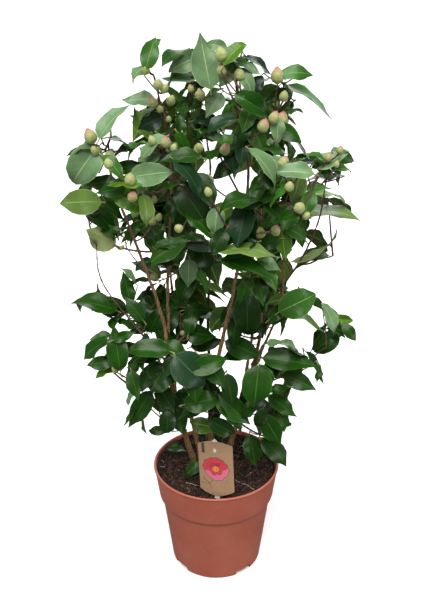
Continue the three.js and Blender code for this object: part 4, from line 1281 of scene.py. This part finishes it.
def bud_scale(name, low, high, tip):
    """Bud scales: matt and downy, palest near the top, with a dry brown or pink tip."""
    material, shader = new_material(name, Roughness=0.62, Sheen_Weight=0.25, Sheen_Roughness=0.5)
    chart = add_node(material, "ShaderNodeTexCoord")
    sides = add_node(material, "ShaderNodeSeparateXYZ", {}, {"Vector": chart.outputs["UV"]})
    rise = add_node(
        material, "ShaderNodeMapRange", {"From Min": 0.0, "From Max": 0.8}, {"Value": sides.outputs["Y"]})
    body = add_node(
        material, "ShaderNodeMixRGB", {"Color1": linear(low), "Color2": linear(high)}, {"Fac": rise})
    rim = add_node(
        material, "ShaderNodeMapRange", {"From Min": 0.8, "From Max": 1.0, "To Max": 0.85},
        {"Value": sides.outputs["Y"]})
    rimmed = add_node(material, "ShaderNodeMixRGB", {"Color2": linear(tip)}, {"Fac": rim, "Color1": body})
    link(material, rimmed, shader.inputs["Base Color"])
    down = add_node(
        material, "ShaderNodeTexNoise", {"Scale": 1 / (1.5 * MM), "Detail": 3.0},
        {"Vector": chart.outputs["Object"]})
    bump = add_node(material, "ShaderNodeBump", {"Strength": 0.3, "Distance": 0.2 * MM}, {"Height": down})
    link(material, bump, shader.inputs["Normal"])
    return material


bud_materials = [
    bud_scale("bud scale green", "#74903c", "#b4bc78", "#a39260"),
    bud_scale("bud scale blushed", "#9aa05c", "#bf9c78", "#a8364c"),
]
bud_piece = buds.make("flower_buds", bud_materials)
smooth(bud_piece, 50)
hand_over(bud_piece, "flower_buds", "leaf")

# ---------------------------------------------------------------------------------------------
# The picture label: a die-cut brown card with an arched top and foot, bowed by the pot's round
# wall in transit. It hangs by its slot on a white plastic stake that is pushed into the peat. The
# picture is a plain printed bloom on a twig, with a blank dark band where a price would go.
card_low, card_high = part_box("label_card")
card_width = 65 * MM
card_height = 95 * MM  # at its two sides
card_arch = 10 * MM
card_thickness = 1.2 * MM
card_bow = 120 * MM  # radius that it is bowed to
card_yaw = math.radians(-16)
card_lean = math.radians(-2.5)
card_middle = (card_low + card_high) / 2
card_place = Vector((2 * MM, -95 * MM, soil_level))
card_rise = card_middle.z - soil_level
slot_drop = card_height / 2 + card_arch - 18 * MM
set_card = Matrix.Translation(card_place) @ Matrix.Rotation(card_yaw, 4, "Z")
set_card = set_card @ Matrix.Rotation(card_lean, 4, "Y")


def on_card(x, proud, z):
    """A place on the bowed card: across and up from its middle, and proud of its front."""
    angle = x / card_bow
    radius = card_bow + card_thickness / 2 + proud
    return set_card @ Vector((radius * math.sin(angle), card_bow - radius * math.cos(angle), card_rise + z))


deselect()
bpy.ops.mesh.primitive_grid_add(x_subdivisions=20, y_subdivisions=28, size=1)
card = bpy.context.object
for point in card.data.vertices:
    x, z = point.co.x * card_width, point.co.y * card_height
    rise = card_arch * (1 - (2 * point.co.x) ** 2)
    point.co = (x, 0, z + rise * max(-1, min(1, 2.4 * point.co.y)))
apply_modifier(card, "SOLIDIFY", thickness=card_thickness, offset=0)
deselect()
bpy.ops.mesh.primitive_cylinder_add(
    vertices=24, radius=3 * MM, depth=10 * MM, location=(0, 0, slot_drop), rotation=(math.pi / 2, 0, 0))
slot_cutter = bpy.context.object
slot_cutter.scale = (1, 1.5, 1)
bpy.ops.object.transform_apply(location=True, rotation=True, scale=True)
apply_modifier(card, "BOOLEAN", operation="DIFFERENCE", solver="EXACT", object=slot_cutter)
bpy.data.objects.remove(slot_cutter)
cut_edges = [face.index for face in card.data.polygons if abs(face.normal.y) < 0.5]
for point in card.data.vertices:
    point.co = on_card(point.co.x, -point.co.y - card_thickness / 2, point.co.z)
brown_card = speckled("brown pulp card", "#a07c5c", "#b89474", 0.85, 1.2 * MM)
card_core = speckled("cut card edge", "#cbb193", "#dcc7ab", 0.9, 1.0 * MM)
card.data.materials.clear()
card.data.materials.append(brown_card)
card.data.materials.append(card_core)
for index in cut_edges:
    card.data.polygons[index].material_index = 1
select_only(card)
face_outwards()
smooth(card, 40)
hand_over(card, "printed_label", "brown_card", "label_card")

ink = 0.12 * MM  # how far the print stands proud, enough to show
print_layers = Sheaf()


def print_shape(outline, layer, slot):
    """Prints a flat shape, fanned from its middle, on one layer of ink."""
    outline = np.asarray(outline)
    middle = outline.mean(0)
    count = len(outline)
    ring = [on_card(x, ink * (layer + 1), z) for x, z in outline]
    back = [on_card(x, -ink, z) for x, z in outline]
    points = ring + [on_card(middle[0], ink * (layer + 1), middle[1])]
    points += back + [on_card(middle[0], -ink, middle[1])]
    faces = []
    for i in range(count):
        j = (i + 1) % count
        below_i, below_j = i + count + 1, j + count + 1
        faces += [(i, j, count), (below_j, below_i, 2 * count + 1), (j, i, below_i, below_j)]
    print_layers.add(np.array(points), faces, slot)


def print_line(route, width, layer, slot):
    """Prints a thin line along a route, as a ribbon that narrows at its end."""
    steps = np.gradient(route, axis=0)
    steps /= np.linalg.norm(steps, axis=1)[:, None]
    across = np.stack([-steps[:, 1], steps[:, 0]], 1)
    widths = np.linspace(1, 0.45, len(route))[:, None] * width / 2
    for i in range(len(route) - 1):
        print_shape(
            [route[i] - across[i] * widths[i], route[i + 1] - across[i + 1] * widths[i + 1],
             route[i + 1] + across[i + 1] * widths[i + 1], route[i] + across[i] * widths[i]], layer, slot)


def flat_turn(angle):
    """A turn in the plane, for points that stand before it in a product."""
    return np.array([[math.cos(angle), math.sin(angle)], [-math.sin(angle), math.cos(angle)]])


def petal(bearing, length, width, notch, flower):
    """Outline of one petal: a broad fan with a shallow notch in its rim."""
    shares = np.linspace(0, 1, 13)
    angles = (shares - 0.5) * math.pi
    reach = length * (0.55 + 0.45 * np.cos(angles) - notch * np.exp(-(angles / 0.3) ** 2))
    sides = width / 2 * np.sin(angles)
    fan = np.concatenate([[(0, 0)], np.stack([reach, sides], 1)])
    return fan @ flat_turn(bearing) + flower


bloom = np.array((0.5 * MM, 0.5 * MM))
petal_count = 6
for i in range(petal_count):
    bearing = math.radians(100) + i * math.tau / petal_count
    length = (25 + 1.6 * math.sin(2.3 * i)) * MM
    print_shape(petal(bearing, length + 0.9 * MM, 26.5 * MM, 0.1, bloom), 0, 3)
    colour = 1 if math.sin(bearing) < 0.2 else 0
    print_shape(petal(bearing, length, 25 * MM, 0.1, bloom), 1 + i % 2, colour)
for i in range(petal_count):
    bearing = math.radians(70) + i * math.tau / petal_count
    colour = 0 if math.sin(bearing) < 0.2 else 4
    print_shape(petal(bearing, 15 * MM, 11 * MM, 0.06, bloom), 3 + i % 2, colour)
spots = np.arange(24) * math.tau / 24
print_shape(bloom + 5.6 * MM * np.stack([np.cos(spots) * 1.1, np.sin(spots)], 1), 5, 2)
for i in range(14):
    at = bloom + (2 + 3.2 * ((i * 7) % 5) / 5) * MM * np.array((math.cos(i * 2.4), math.sin(i * 2.4)))
    print_shape(at + 0.7 * MM * np.stack([np.cos(spots[::4]), np.sin(spots[::4])], 1), 6, 5)
twig_print = [(-25, -22), (-18, -28), (-13, -33), (-11, -38), (-9, -45)]
print_line(np.array(twig_print) * MM, 1.3 * MM, 0, 3)
print_line(np.array([(-5, -23), (-8, -28), (-13, -33)]) * MM, 1.1 * MM, 0, 3)
print_line(np.array([(-29, -33), (-22, -34), (-13, -34)]) * MM, 0.8 * MM, 0, 3)
turns = np.linspace(0, math.tau, 15)
for x, z, tilt in ((14, -30, 40), (22, -38, -15), (25, -25, 75)):
    reach = np.stack([8 * np.cos(turns), 3.6 * np.sin(turns) * (1 - 0.35 * np.cos(turns))], 1)
    turned = reach @ flat_turn(math.radians(tilt))
    print_line((turned + (x, z)) * MM, 0.5 * MM, 0, 6)
    print_line(np.linspace(turned[0], turned[7], 4) * MM + np.array((x, z)) * MM, 0.4 * MM, 0, 6)
print_shape(np.array([(-25, 31), (-19, 31), (-19, 52), (-25, 52)]) * MM, 0, 3)


def printed(name, hex_colour):
    """Offset ink on card: flat colour, slightly uneven where the pulp shows through."""
    material, shader = new_material(name, Roughness=0.7)
    place = add_node(material, "ShaderNodeTexCoord")
    pulp = add_node(
        material, "ShaderNodeTexNoise", {"Scale": 1 / (2.5 * MM), "Detail": 5.0},
        {"Vector": place.outputs["Object"]})
    share = add_node(
        material, "ShaderNodeMapRange", {"From Min": 0.35, "From Max": 0.7, "To Max": 0.3}, {"Value": pulp})
    tint = add_node(
        material, "ShaderNodeMixRGB", {"Color1": linear(hex_colour), "Color2": linear("#b08a66")},
        {"Fac": share})
    link(material, tint, shader.inputs["Base Color"])
    return material


inks = [
    printed("red ink", "#d2274b"), printed("pink ink", "#e56f8e"), printed("yellow ink", "#e8a13a"),
    printed("dark ink", "#2b2a26"), printed("deep red ink", "#b3163a"), printed("orange ink", "#c8641e"),
    printed("grey ink", "#8b735a")]
printed_picture = print_layers.make("label_picture", inks)
hand_over(printed_picture, "label_picture", "brown_card")

# The stake: a flat strip of white polystyrene with a point at each end.
stake_low, stake_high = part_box("label_stake")
stake_width = 10 * MM
stake_thickness = 2 * MM
stake_top = stake_high.z - soil_level
stake_foot = stake_low.z - soil_level
behind_card = card_thickness / 2 + 0.3 * MM
deselect()
bpy.ops.mesh.primitive_plane_add(size=1)
stake = bpy.context.object
stake.data.clear_geometry()
stake_outline = [
    (-0.5, stake_top - stake_width / 2), (-0.5, stake_foot + stake_width), (0, stake_foot),
    (0.5, stake_foot + stake_width), (0.5, stake_top - stake_width / 2), (0, stake_top)]
stake.data.from_pydata([(x * stake_width, behind_card, z) for x, z in stake_outline], [], [tuple(range(6))])
bpy.context.view_layer.objects.active = stake
stake.select_set(True)
bpy.ops.object.mode_set(mode="EDIT")
bpy.ops.mesh.select_all(action="SELECT")
bpy.ops.mesh.extrude_region_move(TRANSFORM_OT_translate={"value": (0, stake_thickness, 0)})
face_outwards()
apply_modifier(stake, "BEVEL", width=0.5 * MM, segments=3, limit_method="ANGLE")
stake.data.transform(set_card)
smooth(stake, 35)
white_plastic = speckled("white moulded polystyrene", "#d9d8cf", "#e9e8e0", 0.4, 4 * MM)
stake.data.materials.append(white_plastic)
hand_over(stake, "white_stake", "white_plastic", "label_stake")

# ---------------------------------------------------------------------------------------------
# The studio: a wide pale floor, an even soft light from all round, a large soft light overhead
# that puts the broad sheen on the leaves, and a camera that looks down on the shrub.
def set_stage(piece, name, colour, roughness, glow):
    """Makes a piece part of the studio: pale, faintly glowing, and no light on the shrub."""
    piece.name = name
    paper, shader = new_material(f"pale {name}", Roughness=roughness)
    shader.inputs["Base Color"].default_value = linear(colour)
    shader.inputs["Emission Color"].default_value = linear("#ffffff")
    shader.inputs["Emission Strength"].default_value = glow
    piece.data.materials.append(paper)
    piece.visible_diffuse = False
    piece.visible_glossy = False


deselect()
bpy.ops.mesh.primitive_plane_add(size=90, location=(0, 0, 0))
set_stage(bpy.context.object, "floor", "#f2f2f2", 0.9, 0.22)
deselect()
bpy.ops.mesh.primitive_uv_sphere_add(segments=48, ring_count=24, radius=40, location=(0, 0, 0))
backdrop = bpy.context.object
set_stage(backdrop, "backdrop", "#000000", 1.0, 1.0)
backdrop.visible_transmission = False
backdrop.visible_shadow = False

world = bpy.data.worlds.new("even light")
bpy.context.scene.world = world
world.use_nodes = True
background = world.node_tree.nodes["Background"]
background.inputs["Color"].default_value = (1, 1, 1, 1)
background.inputs["Strength"].default_value = 0.22

deselect()
bpy.ops.object.light_add(
    type="SUN", location=(0, 0, 3), rotation=(math.radians(24), math.radians(-4), 0))
sky_light = bpy.context.object
sky_light.name = "overhead"
sky_light.data.energy = 4.3
sky_light.data.angle = math.radians(55)

# Each soft box has its place, its size, its power in watts and the height that it is aimed at.
soft_boxes = {
    "left": ((-1.7, -1.0, 0.45), 1.0, 7, 0.25),
    "right": ((1.7, -1.0, 0.45), 1.0, 11, 0.25),
    "back": ((0.5, 2.4, 1.5), 1.8, 30, 0.4),
}
for side, (lamp_place, size, power, aim) in soft_boxes.items():
    deselect()
    bpy.ops.object.light_add(type="AREA", location=lamp_place)
    lamp = bpy.context.object
    lamp.name = f"{side} soft box"
    lamp.data.size = size
    lamp.data.energy = power
    lamp.rotation_euler = (Vector((0, 0, aim)) - Vector(lamp_place)).to_track_quat("-Z", "Y").to_euler()

camera_place = (0.0073, -1.293, 1.109)
camera_pitch = 23.4  # degrees down
deselect()
bpy.ops.object.camera_add(location=camera_place, rotation=(math.radians(90 - camera_pitch), 0, 0))
camera = bpy.context.object
camera.data.lens = 48
camera.data.sensor_width = 36
bpy.context.scene.camera = camera
bpy.context.scene.view_settings.view_transform = "Standard"
